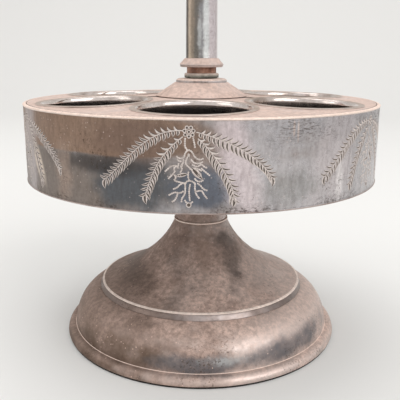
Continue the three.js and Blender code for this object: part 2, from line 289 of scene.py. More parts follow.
class Shape:
    """Points and faces of one piece while it is being built, in millimetres."""

    SMOOTH_TURN = math.radians(32)

    def __init__(self) -> None:
        """Starts an empty shape."""
        self.points: list[Triple] = []
        self.faces: list[Sequence[int]] = []
        self.coats: list[int] = []

    def loft(self, rings: list[list[Triple]], loop: bool = False, coats: Sequence[int] = (0,)) -> "Shape":
        """Joins closed rings of points, each to the next.

        Args:
            rings: Rings with the same number of points.
            loop: Whether the last ring joins the first; if not, both ends are closed.
            coats: Coat of the face after each point of a ring, repeated as needed.

        Returns:
            The shape itself.
        """
        start, around = len(self.points), len(rings[0])
        for ring in rings:
            self.points.extend(ring)
        for row in range(len(rings) if loop else len(rings) - 1):
            near, far = start + row * around, start + ((row + 1) % len(rings)) * around
            for index in range(around):
                beside = (index + 1) % around
                self.faces.append((near + index, near + beside, far + beside, far + index))
                self.coats.append(coats[index % len(coats)])
        if not loop:
            last = start + (len(rings) - 1) * around
            self.faces.append(tuple(range(start + around - 1, start - 1, -1)))
            self.faces.append(tuple(range(last, last + around)))
            self.coats += [coats[0], coats[0]]
        return self

    def spin(
        self,
        section: Section | Callable[[float], Section],
        facets: Facets,
        middle: Pair = (0.0, 0.0),
    ) -> "Shape":
        """Turns a half section round a vertical axis.

        Args:
            section: Corners as radius and height, or a function that gives them for an angle.
            facets: How finely the piece is divided.
            middle: Where the axis stands.

        Returns:
            The shape itself.
        """
        rings = []
        for step in range(facets.value):
            angle = 2 * math.pi * step / facets.value - math.pi / 2
            corners = section(angle) if callable(section) else section
            across, along = math.cos(angle), math.sin(angle)
            rings.append([(middle[0] + r * across, middle[1] + r * along, height) for r, height in corners])
        return self.loft(rings, loop=True)

    def plate(self, outlines: list[Section], base: float, top: float) -> "Shape":
        """Makes a flat plate with holes.

        Args:
            outlines: The outer outline first, then each hole.
            base: Height of the underside.
            top: Height of the upper side.

        Returns:
            The shape itself.
        """
        corners = [corner for outline in outlines for corner in outline]
        start, count = len(self.points), len(corners)
        self.points += [(x, y, base) for x, y in corners] + [(x, y, top) for x, y in corners]
        for a, b, c in tessellate_polygon([[Vector((x, y, 0)) for x, y in outline] for outline in outlines]):
            self.faces += [(start + c, start + b, start + a), tuple(start + count + i for i in (a, b, c))]
        first = start
        for outline in outlines:
            for index in range(len(outline)):
                low, beside = first + index, first + (index + 1) % len(outline)
                self.faces.append((low, beside, beside + count, low + count))
            first += len(outline)
        self.coats += [0] * (len(self.faces) - len(self.coats))
        return self

    def lift(self, rise: Callable[[float], float]) -> "Shape":
        """Raises every point by what a function gives for its distance from the drum's axis."""
        self.points = [(x, y, z + rise(math.hypot(x, y))) for x, y, z in self.points]
        return self

    def make(
        self, name: str, finishes: Sequence["Finish"], chooser: Chooser | None = None
    ) -> bpy.types.Object:
        """Makes the Blender object.

        Args:
            name: Name of the piece.
            finishes: The finish of each coat.
            chooser: Chooses the coat of a face from its middle and its normal, in millimetres.

        Returns:
            The object, with its mesh in metres and its origin at the frame's.
        """
        mesh = bpy.data.meshes.new(name)
        mesh.from_pydata([tuple(value * MM for value in point) for point in self.points], [], self.faces)
        mesh.polygons.foreach_set("material_index", self.coats)
        build = bmesh.new()
        build.from_mesh(mesh)
        bmesh.ops.recalc_face_normals(build, faces=build.faces)
        build.to_mesh(mesh)
        build.free()
        if chooser:
            for face in mesh.polygons:
                face.material_index = chooser(face.center / MM, face.normal)
        mesh.shade_smooth()
        mesh.set_sharp_from_angle(angle=self.SMOOTH_TURN)
        for finish in finishes:
            mesh.materials.append(finish.material())
        piece = bpy.data.objects.new(name, mesh)
        bpy.context.scene.collection.objects.link(piece)
        return piece


def hidden_side(middle: Vector, normal: Vector) -> int:
    """Gives 1 for a face that looks down or towards the axis, and 0 for any other.

    Args:
        middle: Middle of the face.
        normal: Its normal.

    Returns:
        Number of the coat.
    """
    facing_in, facing_down = -0.01, -0.3
    inwards = middle.x * normal.x + middle.y * normal.y < facing_in * middle.xy.length
    return int(inwards or normal.z < facing_down)


def under_side(middle: Vector, normal: Vector) -> int:
    """Gives 0 for a face that looks up, and 1 for any other, wherever its middle lies."""
    facing_up = 0.5
    return int(normal.z < facing_up)


def seat(piece: bpy.types.Object, body: Body, slot: Slot, *nodes: str) -> None:
    """Fixes a piece to the frame and reports it.

    Args:
        piece: The finished object.
        body: Body that carries it.
        slot: The record's slot for the piece; not used.
        nodes: Frame nodes that it stands for.
    """
    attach(piece, body.value)
    if nodes:
        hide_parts(*nodes)
    LOG.info("%s rides on %s with %d faces", piece.name, body.value, len(piece.data.polygons))


def turned(
    name: str,
    node: str,
    body: Body,
    slot: Slot,
    section: Section | float,
    edge: float,
    finishes: Sequence["Finish"],
    chooser: Chooser | None = None,
    facets: Facets = Facets.MIDDLE,
) -> None:
    """Turns a piece, dresses it and fixes it to the frame.

    Args:
        name: Name of the piece.
        node: Frame node that it stands for.
        body: Body that carries it.
        slot: The record's slot for the piece, handed to seat, which does not use it.
        section: Corners of its half section, as radius and height, or the bore of a plain ring.
        edge: Size of its rounded edges.
        finishes: The finish of each coat.
        chooser: Chooses the coat of a face from its middle and its normal.
        facets: How finely it is divided.
    """
    corners = Extent.of(node).ring(section) if isinstance(section, float) else section
    shape = Shape().spin(soften(corners, edge), facets)
    seat(shape.make(name, finishes, chooser), body, slot, node)


class Field:
    """A value that changes over a surface: an output socket that can stand in a sum."""

    def __init__(self, graph: "Graph", socket: bpy.types.NodeSocket) -> None:
        """Wraps an output socket of a graph."""
        self.graph, self.socket = graph, socket

    def _with(self, operation: str, first: Any, second: Any) -> "Field":
        """Adds one Math node on two values."""
        return self.graph.add("ShaderNodeMath", {"operation": operation}, {0: first, 1: second})

    def __add__(self, other: "Field | float") -> "Field":
        """Adds."""
        return self._with("ADD", self, other)

    __radd__ = __add__

    def __mul__(self, other: "Field | float") -> "Field":
        """Multiplies."""
        return self._with("MULTIPLY", self, other)

    __rmul__ = __mul__

    def __sub__(self, other: "Field | float") -> "Field":
        """Subtracts."""
        return self._with("SUBTRACT", self, other)

    def __rsub__(self, other: float) -> "Field":
        """Subtracts from a number."""
        return self._with("SUBTRACT", other, self)

    def __pow__(self, other: float) -> "Field":
        """Raises to a power."""
        return self._with("POWER", self, other)

    def __or__(self, other: "Field | float") -> "Field":
        """Gives the larger of two values, which joins two masks."""
        return self._with("MAXIMUM", self, other)

    def between(self, low: float, high: float) -> "Field":
        """Gives 0 below one value and 1 above another, with a smooth step between.

        Args:
            low: Value at which the step starts.
            high: Value at which it ends; it may be the lower one of the two.

        Returns:
            The stepped field.
        """
        rising = low < high
        sockets = {
            "Value": self,
            "From Min": min(low, high),
            "From Max": max(low, high),
            "To Min": float(not rising),
            "To Max": float(rising),
        }
        return self.graph.add("ShaderNodeMapRange", {"interpolation_type": "SMOOTHSTEP"}, sockets)


class Graph:
    """The node tree of one material, and the only place that adds nodes."""

    MIX_FACTOR, MIX_FIRST, MIX_SECOND, MIX_RESULT = 0, 6, 7, 2

    def __init__(self, name: str) -> None:
        """Starts an empty material.

        Args:
            name: Name of the material.
        """
        self.material = bpy.data.materials.new(name)
        self.material.use_nodes = True
        self.tree = self.material.node_tree
        self.tree.nodes.clear()
        coordinates = self.add_node("ShaderNodeTexCoord")
        self.place = Field(self, coordinates.outputs["Object"])
        self.upward = self.part(self.add_node("ShaderNodeNewGeometry").outputs["Normal"], "Z")

    def add_node(
        self, kind: str, settings: dict[str, Any] | None = None, sockets: dict[str | int, Any] | None = None
    ) -> bpy.types.Node:
        """Adds a node, sets its settings and then its sockets.

        Args:
            kind: Blender's name for the type of node.
            settings: Attributes of the node.
            sockets: Values or fields for its inputs, by name or number.

        Returns:
            The node.
        """
        node = self.tree.nodes.new(kind)
        for name, value in (settings or {}).items():
            setattr(node, name, value)
        for name, value in (sockets or {}).items():
            if isinstance(value, Field):
                self.tree.links.new(value.socket, node.inputs[name])
            else:
                node.inputs[name].default_value = value
        return node

    def add(
        self,
        kind: str,
        settings: dict[str, Any] | None = None,
        sockets: dict[str | int, Any] | None = None,
        output: str | int = 0,
    ) -> Field:
        """Adds a node as add_node does and wraps one of its outputs.

        Args:
            kind: Blender's name for the type of node.
            settings: Attributes of the node.
            sockets: Values or fields for its inputs, by name or number.
            output: Name or number of the output.

        Returns:
            The output as a field.
        """
        return Field(self, self.add_node(kind, settings, sockets).outputs[output])

    def part(self, vector: bpy.types.NodeSocket, axis: str) -> Field:
        """Takes one axis of a vector."""
        return self.add("ShaderNodeSeparateXYZ", None, {"Vector": Field(self, vector)}, axis)

    def axis(self, name: str) -> Field:
        """Gives how far a point lies along X, Y or Z, in millimetres."""
        return self.part(self.place.socket, name) * (1 / MM)

    def pits(self, spacing: float) -> Field:
        """Gives the distance to the nearest of many scattered points, as a share of their spacing."""
        return self.add("ShaderNodeTexVoronoi", None, {"Vector": self.place, "Scale": 1 / (spacing * MM)})

    def blend(self, mask: Field | float, low: Any, high: Any) -> Field:
        """Mixes two colours.

        Args:
            mask: 0 for the first colour, 1 for the second.
            low: First colour.
            high: Second colour.

        Returns:
            The mixed colour.
        """
        colours = [(*c, 1.0) if isinstance(c, tuple) else c for c in (low, high)]
        sockets = {self.MIX_FACTOR: mask, self.MIX_FIRST: colours[0], self.MIX_SECOND: colours[1]}
        return self.add("ShaderNodeMix", {"data_type": "RGBA"}, sockets, self.MIX_RESULT)

    def bump(self, height: Field, depth: float) -> Field:
        """Turns a height field into a normal, for a depth in millimetres."""
        return self.add("ShaderNodeBump", None, {"Height": height, "Distance": depth * MM, "Strength": 1.0})

    def finish(self, **sockets: Any) -> None:
        """Ends the material in a Principled shader.

        Args:
            sockets: Values, colours or fields, by the socket's name with _ for a space.
        """
        named = {name.replace("_", " "): value for name, value in sockets.items()}
        named = {name: (*value, 1.0) if isinstance(value, tuple) else value for name, value in named.items()}
        shader = self.add("ShaderNodeBsdfPrincipled", None, named)
        self.add_node("ShaderNodeOutputMaterial", None, {"Surface": shader})


@dataclass(frozen=True)
class Clouds:
    """A layer of cloudy noise from 0 to 1, cut into a mask where it has edges.

    Attributes:
        width: Width of one cloud, in millimetres or in the unit given later.
        detail: How many finer sizes are added.
        ragged: How strong the finer sizes are.
        flat: How many times lower than wide a cloud is.
        edges: Noise values at which the mask is 0 and 1; without them it stays plain noise.
    """

    width: float
    detail: float = 4.0
    ragged: float = 0.55
    flat: float = 1.0
    edges: Pair | None = None

    def on(self, graph: Graph, unit: float = 1.0) -> Field:
        """Adds the layer to a material.

        Args:
            graph: Node tree of the material.
            unit: Millimetres in one unit of its width.

        Returns:
            The noise, or the mask that is cut from it.
        """
        stretch = {0: graph.place, 1: (1, 1, self.flat)}
        squeezed = graph.add("ShaderNodeVectorMath", {"operation": "MULTIPLY"}, stretch)
        scale = 1 / (self.width * unit * MM)
        sockets = {"Vector": squeezed, "Scale": scale, "Detail": self.detail, "Roughness": self.ragged}
        noise = graph.add("ShaderNodeTexNoise", None, sockets)
        return noise.between(*self.edges) if self.edges else noise


@dataclass(frozen=True)
class Finish:
    """How one surface of the stand looks.

    Attributes:
        name: Name of its material.
    """

    name: str

    def paint(self, graph: Graph) -> None:
        """Adds the nodes of the finish to a new material."""
        raise NotImplementedError

    def material(self) -> bpy.types.Material:
        """Makes the material the first time, and gives the same one back after that.

        Returns:
            The material.
        """
        known = bpy.data.materials.get(self.name)
        if known is None:
            graph = Graph(self.name)
            self.paint(graph)
            known = graph.material
        return known


@dataclass(frozen=True)
class StainAndLightPatch:
    """One patch of another colour, placed as the eye meets it from the front: tarnish, scratches, painted
    light, painted shade and painted reflections.

    Attributes:
        middle: Distance to the right and height of its middle.
        half: Half of its width and half of its height.
        colour: Its colour.
        strength: How much of the colour beneath it hides.
        soft: Half the width of its edge, as a share of its half size.
        ragged: How far clouds push its edge in and out, as a share of its size.
        grain: Width of those clouds.
        lean: How far its top leans to the right, for each millimetre of height.
        square: How square its outline is; 1 is an ellipse.
    """

    middle: Pair
    half: Pair
    colour: Triple
    strength: float = 0.8
    soft: float = 0.3
    ragged: float = 0.5
    grain: float = 16.0
    lean: float = 0.0
    square: float = 1.0

    EDGE, CLOUD_MIDDLE, PUSH = Clouds(1.0, 5.0, 0.6), 0.5, 4.0

    def mask(self, graph: Graph) -> Field:
        """Says how much of the patch lies at each point.

        Args:
            graph: Node tree of the material.

        Returns:
            The mask, from 0 to the patch's strength.
        """
        up = graph.axis("Z") - self.middle[1]
        across = (graph.axis("X") - self.middle[0] - up * self.lean) * (1 / self.half[0])
        up = up * (1 / self.half[1])
        far = ((across * across) ** self.square + (up * up) ** self.square) ** (0.5 / self.square)
        far = far + (self.EDGE.on(graph, self.grain) - self.CLOUD_MIDDLE) * (self.PUSH * self.ragged)
        return far.between(1 + self.soft, 1 - self.soft) * self.strength


@dataclass(frozen=True)
class SilverPlate(Finish):
    """Silver plate with tarnish, pits, polishing marks and dust, and patches of colour that are tarnish,
    scratches, painted light, painted shade and painted reflections.

    Attributes:
        clean: Colour where it is clean.
        tarnish: Colour of the tarnish.
        deep: Colour of the darkest spots.
        dust: Colour of the dust.
        shine: Roughness where it is clean.
        dullness: Roughness added by full tarnish.
        cover: Share of the surface that is tarnished.
        patch: Width of a tarnished patch.
        spots: Share of the surface with dark spots.
        spot: Three times the width of one dark spot.
        mottling: How much the dust's colour varies.
        specks: How clearly pale specks of dirt show.
        streaks: How clearly fine upright streaks of grime show.
        dusting: How much dust lies on what faces upwards.
        dust_slope: Upward share of the normal at which dust starts to lie.
        veil: Thin dust on every side.
        veil_patch: Width of a patch of it.
        veil_from: Cloud value at which it starts; a lower one spreads it further.
        dust_cleared: How much less dust lies on a patch, painted light included.
        lean: How much more tarnish lies on the left than on the right; the darker left side is partly tarnish
            and partly painted shade.
        brushing: How many times finer the polishing marks are along the height.
        relief: Depth of pits and marks.
        stain_and_light_patches: Patches of other colours: tarnish, scratches, painted light, painted shade
            and painted reflections.
    """

    clean: Triple = seen(0.84, 0.82, 0.82)
    tarnish: Triple = seen(0.56, 0.47, 0.41)
    deep: Triple = seen(0.25, 0.20, 0.17)
    dust: Triple = seen(0.80, 0.70, 0.65)
    shine: float = 0.22
    dullness: float = 0.2
    cover: float = 0.5
    patch: float = 30.0
    spots: float = 0.12
    spot: float = 3.0
    mottling: float = 0.2
    specks: float = 0.35
    streaks: float = 0.0
    dusting: float = 0.9
    dust_slope: float = 0.45
    veil: float = 0.1
    veil_patch: float = 6.0
    veil_from: float = 0.35
    dust_cleared: float = 0.8
    lean: float = 0.0
    brushing: float = 7.0
    relief: float = 0.02
    stain_and_light_patches: tuple[StainAndLightPatch, ...] = ()

    LEAN_REACH = 70.0
    PATCHES, PATCH_MIDDLE, PATCH_EDGE = Clouds(1.0, 6.0, 0.6, 1.4), 0.75, 0.14
    SPOTS, SPOT_SHADE = Clouds(1 / 3, 5.0, 0.7, edges=(0.53, 0.64)), 0.75
    SPOT_GROUPS, GROUP_EDGES = Clouds(7.0, 3.0), (0.62, 0.72)
    DUST_HEAPS, DUST_LEAST, DUST_EDGE = Clouds(14.0, 6.0, 0.65, edges=(0.2, 0.62)), 0.55, 0.45
    VEIL, VEIL_EDGE = Clouds(1.0, 7.0, 0.7), 0.35
    GRAIN = Clouds(0.7, 3.0, 0.6)
    COARSE_GRAIN, GRAIN_SHADE = Clouds(1.4, 3.0, 0.7, edges=(0.25, 0.75)), 0.2
    GRIME = Clouds(2.2, 5.0, 0.7, 0.25, (0.42, 0.66))
    FINE_GRIME = Clouds(1.4, 5.0, 0.75, edges=(0.55, 0.7))
    MOTTLES, MOTTLE_SHARE = Clouds(2.4, 6.0, 0.75, edges=(0.36, 0.64)), 0.7
    DIMMING, LIGHTING = -1.4, 0.6
    SPECK_SPACING, SPECK_EDGES, SPECK_LIGHT = 1.9, (0.2, 0.08), 0.25
    SPECK_GROUPS = Clouds(9.0, 3.0, edges=(0.45, 0.62))
    MARKS = Clouds(9.0, 6.0, 0.75)
    PIT_SPACING, PIT_EDGES = 1.3, (0.22, 0.05)
    PIT_GROUPS = Clouds(5.0, 2.0, edges=(0.45, 0.6))
    MARK_RISE, GRAIN_RISE, DUST_RISE, PIT_FALL, SPOT_FALL = 0.35, 0.35, 0.9, 0.8, 0.3
    MARK_ROUGHNESS, SPOT_ROUGHNESS, DUST_ROUGHNESS, DUST_MATT = 0.08, 0.2, 0.5, 0.92

    def tarnish_mask(self, graph: Graph) -> Field:
        """Says where the tarnish lies; its lean to the left is partly painted shade.

        Args:
            graph: Node tree of the material.

        Returns:
            The mask, from 0 to 1.
        """
        clouds = self.PATCHES.on(graph, self.patch)
        # More tarnish towards the left: partly tarnish, partly painted shade.
        if self.lean:
            clouds = clouds - graph.axis("X") * (self.lean / self.LEAN_REACH / 2)
        edge = self.PATCH_MIDDLE - self.cover / 2
        return clouds.between(edge - self.PATCH_EDGE, edge + self.PATCH_EDGE)

    def spot_mask(self, graph: Graph) -> Field:
        """Says where the dark spots lie.

        Args:
            graph: Node tree of the material.

        Returns:
            The mask, from 0 to 1.
        """
        low, high = self.GROUP_EDGES
        groups = self.SPOT_GROUPS.on(graph, self.spot).between(low - self.spots, high - self.spots)
        return groups * self.SPOTS.on(graph, self.spot)

    def dust_mask(self, graph: Graph, stain_and_light_masks: Sequence[Field]) -> Field:
        """Says how thick the dust lies.

        Args:
            graph: Node tree of the material.
            stain_and_light_masks: The mask of each patch, tarnish and painted light alike, on which less dust
                lies.

        Returns:
            The mask, from 0 to 1.
        """
        full = min(1.0, self.dust_slope + self.DUST_EDGE)
        lying = graph.upward.between(self.dust_slope, full) * self.dusting
        uneven = self.DUST_HEAPS.on(graph)
        clouds = self.VEIL.on(graph, self.veil_patch)
        veil = self.veil * clouds.between(self.veil_from, self.veil_from + self.VEIL_EDGE)
        dust = lying * (self.DUST_LEAST + (1 - self.DUST_LEAST) * uneven) | veil
        for mask in stain_and_light_masks:
            dust = dust * (1 - self.dust_cleared * mask)
        return dust

    def dust_colour(self, change: float) -> Triple:
        """Gives the dust's colour made lighter by a share of itself."""
        return tuple((1 + change) * share for share in self.dust)

    def colour(self, graph: Graph, spots: Field, dust: Field, stain_and_light_masks: Sequence[Field]) -> Field:
        """Mixes the colour of the surface from its masks.

        Args:
            graph: Node tree of the material.
            spots: Mask of the dark spots.
            dust: Mask of the dust.
            stain_and_light_masks: The mask of each patch, tarnish and painted light alike.

        Returns:
            The colour.
        """
        grain = self.COARSE_GRAIN.on(graph)
        metal = graph.blend(self.tarnish_mask(graph), self.clean, self.tarnish)
        for stain_and_light_patch, mask in zip(self.stain_and_light_patches, stain_and_light_masks):
            metal = graph.blend(mask, metal, stain_and_light_patch.colour)
        metal = graph.blend(grain * self.GRAIN_SHADE, metal, self.deep)
        if self.streaks:
            grime = self.GRIME.on(graph) | self.FINE_GRIME.on(graph)
            metal = graph.blend(grime * self.streaks, metal, self.deep)
        metal = graph.blend(spots * self.SPOT_SHADE, metal, self.deep)
        mottle = self.MOTTLES.on(graph) * self.MOTTLE_SHARE + grain * (1 - self.MOTTLE_SHARE)
        shades = [self.dust_colour(change * self.mottling) for change in (self.DIMMING, self.LIGHTING)]
        dusty = graph.blend(dust, metal, graph.blend(mottle, *shades))
        specks = graph.pits(self.SPECK_SPACING).between(*self.SPECK_EDGES)
        specks = specks * self.SPECK_GROUPS.on(graph) * self.specks
        return graph.blend(specks, dusty, self.dust_colour(self.SPECK_LIGHT))

    def paint(self, graph: Graph) -> None:
        """Adds the nodes of the finish to a new material.

        Args:
            graph: Node tree of the material.
        """
        stain_and_light_masks = [stain_and_light_patch.mask(graph) for stain_and_light_patch in self.stain_and_light_patches]
        spots, dust = self.spot_mask(graph), self.dust_mask(graph, stain_and_light_masks)
        marks, grain = replace(self.MARKS, flat=self.brushing).on(graph), self.GRAIN.on(graph)
        pits = graph.pits(self.PIT_SPACING).between(*self.PIT_EDGES) * self.PIT_GROUPS.on(graph)
        height = marks * self.MARK_RISE + grain * (self.GRAIN_RISE + dust * self.DUST_RISE)
        height = height - pits * self.PIT_FALL - spots * self.SPOT_FALL
        rough = self.shine + self.tarnish_mask(graph) * self.dullness + marks * self.MARK_ROUGHNESS
        graph.finish(
            Base_Color=self.colour(graph, spots, dust, stain_and_light_masks),
            Metallic=1 - dust * self.DUST_MATT,
            Roughness=rough + spots * self.SPOT_ROUGHNESS + dust * self.DUST_ROUGHNESS,
            Normal=graph.bump(height, self.relief),
        )


@dataclass(frozen=True)
class DrumSilver(SilverPlate):
    """The drum's wall, with specks along its edges.

    Attributes:
        low: Height of the wall's lower edge.
        high: Height of its upper edge.
    """

    low: float = 0.0
    high: float = 1.0

    FOOT_BAND, FOOT_SPECKS = (4.0, 0.2), Clouds(1.6, 5.0, 0.75, 1.6, (0.46, 0.6))
    FOOT_PATCHES = Clouds(20.0, 2.0, edges=(0.42, 0.6))
    BROW_BAND, BROW_SIDE = (-12.0, -4.0), (14.0, 34.0)
    BROW_STREAKS = Clouds(2.6, 5.0, 0.75, 4.0, (0.47, 0.6))
    BROW_PATCHES = Clouds(24.0, 3.0, 0.5, 2.0, (0.42, 0.58))

    def spot_mask(self, graph: Graph) -> Field:
        """Adds specks along both edges of the wall to the usual spots.

        Args:
            graph: Node tree of the material.

        Returns:
            The mask, from 0 to 1.
        """
        height = graph.axis("Z")
        foot = height.between(*(self.low + up for up in self.FOOT_BAND)) * self.FOOT_SPECKS.on(graph)
        foot = foot * self.FOOT_PATCHES.on(graph)
        brow = height.between(*(self.high + up for up in self.BROW_BAND))
        brow = brow * graph.axis("X").between(*self.BROW_SIDE)
        brow = brow * self.BROW_STREAKS.on(graph) * self.BROW_PATCHES.on(graph)
        return super().spot_mask(graph) | foot | brow


@dataclass(frozen=True)
class DullMetal(Finish):
    """A plain metal that was never polished: copper, brass, steel, silver darkened inside as tarnish and
    painted shade, and the engraving's pale cuts of painted highlight and dark cuts of grime and painted
    shadow.

    Attributes:
        bright: Lighter colour.
        dark: Darker colour.
        sheen: Share of the surface that still looks like metal.
        roughness: Roughness of the surface.
        patch: Width of one patch of colour.
        relief: Depth of its grain.
    """

    bright: Triple
    dark: Triple
    sheen: float = 0.8
    roughness: float = 0.45
    patch: float = 3.0
    relief: float = 0.03

    PATCHES, GRAIN = Clouds(1.0, 6.0, 0.65, 1.5, (0.32, 0.66)), Clouds(1 / 6, 4.0, 0.7)
    GRAIN_SHARE, PATCH_RISE = 0.4, 0.5
    GRAIN_ROUGHNESS, DARK_ROUGHNESS = 0.2, 0.15

    def paint(self, graph: Graph) -> None:
        """Adds the nodes of the finish to a new material.

        Args:
            graph: Node tree of the material.
        """
        patches, grain = self.PATCHES.on(graph, self.patch), self.GRAIN.on(graph, self.patch)
        shade = patches * (1 - self.GRAIN_SHARE + self.GRAIN_SHARE * grain)
        rough = self.roughness + grain * self.GRAIN_ROUGHNESS + (1 - patches) * self.DARK_ROUGHNESS
        graph.finish(
            Base_Color=graph.blend(shade, self.dark, self.bright),
            Metallic=self.sheen,
            Roughness=rough,
            Normal=graph.bump(grain + patches * self.PATCH_RISE, self.relief),
        )


@dataclass(frozen=True)
class PlainPaper(Finish):
    """The studio's floor and backdrop.

    Attributes:
        colour: Its colour.
    """

    colour: Triple = (0.80, 0.80, 0.79)

    FIBRE, SMOOTHEST, FIBRE_ROUGHNESS, SPECULAR = Clouds(4.0, 5.0), 0.85, 0.1, 0.2

    def paint(self, graph: Graph) -> None:
        """Adds the nodes of the finish to a new material."""
        rough = self.SMOOTHEST + self.FIBRE_ROUGHNESS * self.FIBRE.on(graph)
        graph.finish(Base_Color=self.colour, Roughness=rough, Specular_IOR_Level=self.SPECULAR)


WALL = Extent.of("drum_wall")
# Colours of tarnish and of painted light: SLATE, LILAC and GREY serve as painted reflections, SHADE as
# painted shade, ROSE as painted light on the foot and as the colour of two scratches on the drum, and BROWN
# as tarnish and painted reflection.
BROWN, SLATE, LILAC = seen(0.60, 0.50, 0.43), seen(0.38, 0.41, 0.46), seen(0.80, 0.765, 0.77)
SHADE, GREY, ROSE = seen(0.44, 0.38, 0.35), seen(0.40, 0.40, 0.42), seen(0.90, 0.83, 0.80)
FOOT_SILVER = SilverPlate(
    "foot_silver_worn_painted_light", clean=seen(0.78, 0.73, 0.71), tarnish=seen(0.54, 0.46, 0.42), cover=0.6,
    shine=0.28, dusting=0.85, dust=seen(0.86, 0.755, 0.705), dust_slope=0.35, lean=0.6, patch=20.0,
    veil=0.7, veil_patch=14.0, veil_from=0.3, relief=0.045, specks=0.8, dust_cleared=0.75, spots=0.09, mottling=0.34,
    stain_and_light_patches=(
        # Painted shade: the left half darker.
        StainAndLightPatch((-62.0, 26.0), (46.0, 34.0), seen(0.46, 0.39, 0.34), 0.65, 0.6, 0.4, 14.0),
        # Painted light on the right side.
        StainAndLightPatch((56.0, 22.0), (26.0, 9.0), ROSE, 0.45, 0.6, 0.5, 12.0),
        # Painted light: a faint pale line across the front.
        StainAndLightPatch((2.0, 18.0), (40.0, 2.6), ROSE, 0.2, 0.6, 0.5, 12.0),
        # Painted light on the skirt's right, where the drum casts its shadow.
        StainAndLightPatch((38.0, 36.0), (13.0, 8.0), ROSE, 0.5, 0.7, 0.4, 12.0),
        # Painted shade: the flange darker on the left.
        StainAndLightPatch((-52.0, 5.0), (26.0, 6.0), seen(0.40, 0.33, 0.28), 0.45, 0.6, 0.5, 9.0),
        # Painted light along the flange.
        StainAndLightPatch((18.0, 3.4), (44.0, 2.2), ROSE, 0.6, 0.5, 0.5, 9.0),
        # Painted shade: the dome darker at its lower left.
        StainAndLightPatch((-29.0, 10.0), (19.0, 5.0), seen(0.43, 0.36, 0.31), 0.6, 0.6, 0.5, 8.0),
        # Painted reflection: blue-grey across the dome's front.
        StainAndLightPatch((3.0, 9.0), (23.0, 4.2), seen(0.36, 0.38, 0.41), 0.9, 0.5, 0.4, 11.0),
        # Painted highlight on the dome.
        StainAndLightPatch((15.0, 11.0), (8.0, 2.0), seen(0.84, 0.85, 0.85), 0.5, 0.8, 0.6, 3.5),
        # Painted reflection: grey on the dome's right.
        StainAndLightPatch((46.0, 11.0), (18.0, 5.0), GREY, 0.9, 0.5, 0.4, 11.0, 0.6),
        # Painted shade on the skirt's upper left.
        StainAndLightPatch((-38.0, 37.0), (10.0, 4.5), SHADE, 0.75, 0.6, 0.6, 6.0),
        # Painted reflection: a dark upright streak on the skirt.
        StainAndLightPatch((16.0, 46.0), (5.0, 10.0), seen(0.48, 0.44, 0.42), 0.75, 0.5, 0.5, 7.0, -0.35),
        # Painted reflection: a pale upright streak on the skirt.
        StainAndLightPatch((2.0, 50.0), (3.5, 12.0), seen(0.78, 0.68, 0.62), 0.5, 0.6, 0.4, 7.0, -0.1),
    ),
)
BAND_SILVER = SilverPlate(
    "band_silver_grey_painted_shade", clean=seen(0.68, 0.64, 0.63), tarnish=seen(0.50, 0.46, 0.45), cover=0.4,
    shine=0.3, dusting=0.5, veil=0.35, spots=0.03, patch=12.0,
    stain_and_light_patches=(
        # Painted shade: the band darker on the left.
        StainAndLightPatch((-46.0, 27.0), (36.0, 20.0), seen(0.44, 0.38, 0.35), 0.85, 0.4, 0.3, 10.0),
        # Painted shade: the band darker on the right.
        StainAndLightPatch((46.0, 27.0), (18.0, 20.0), seen(0.46, 0.42, 0.40), 0.6, 0.5, 0.3, 10.0),
    ),
)
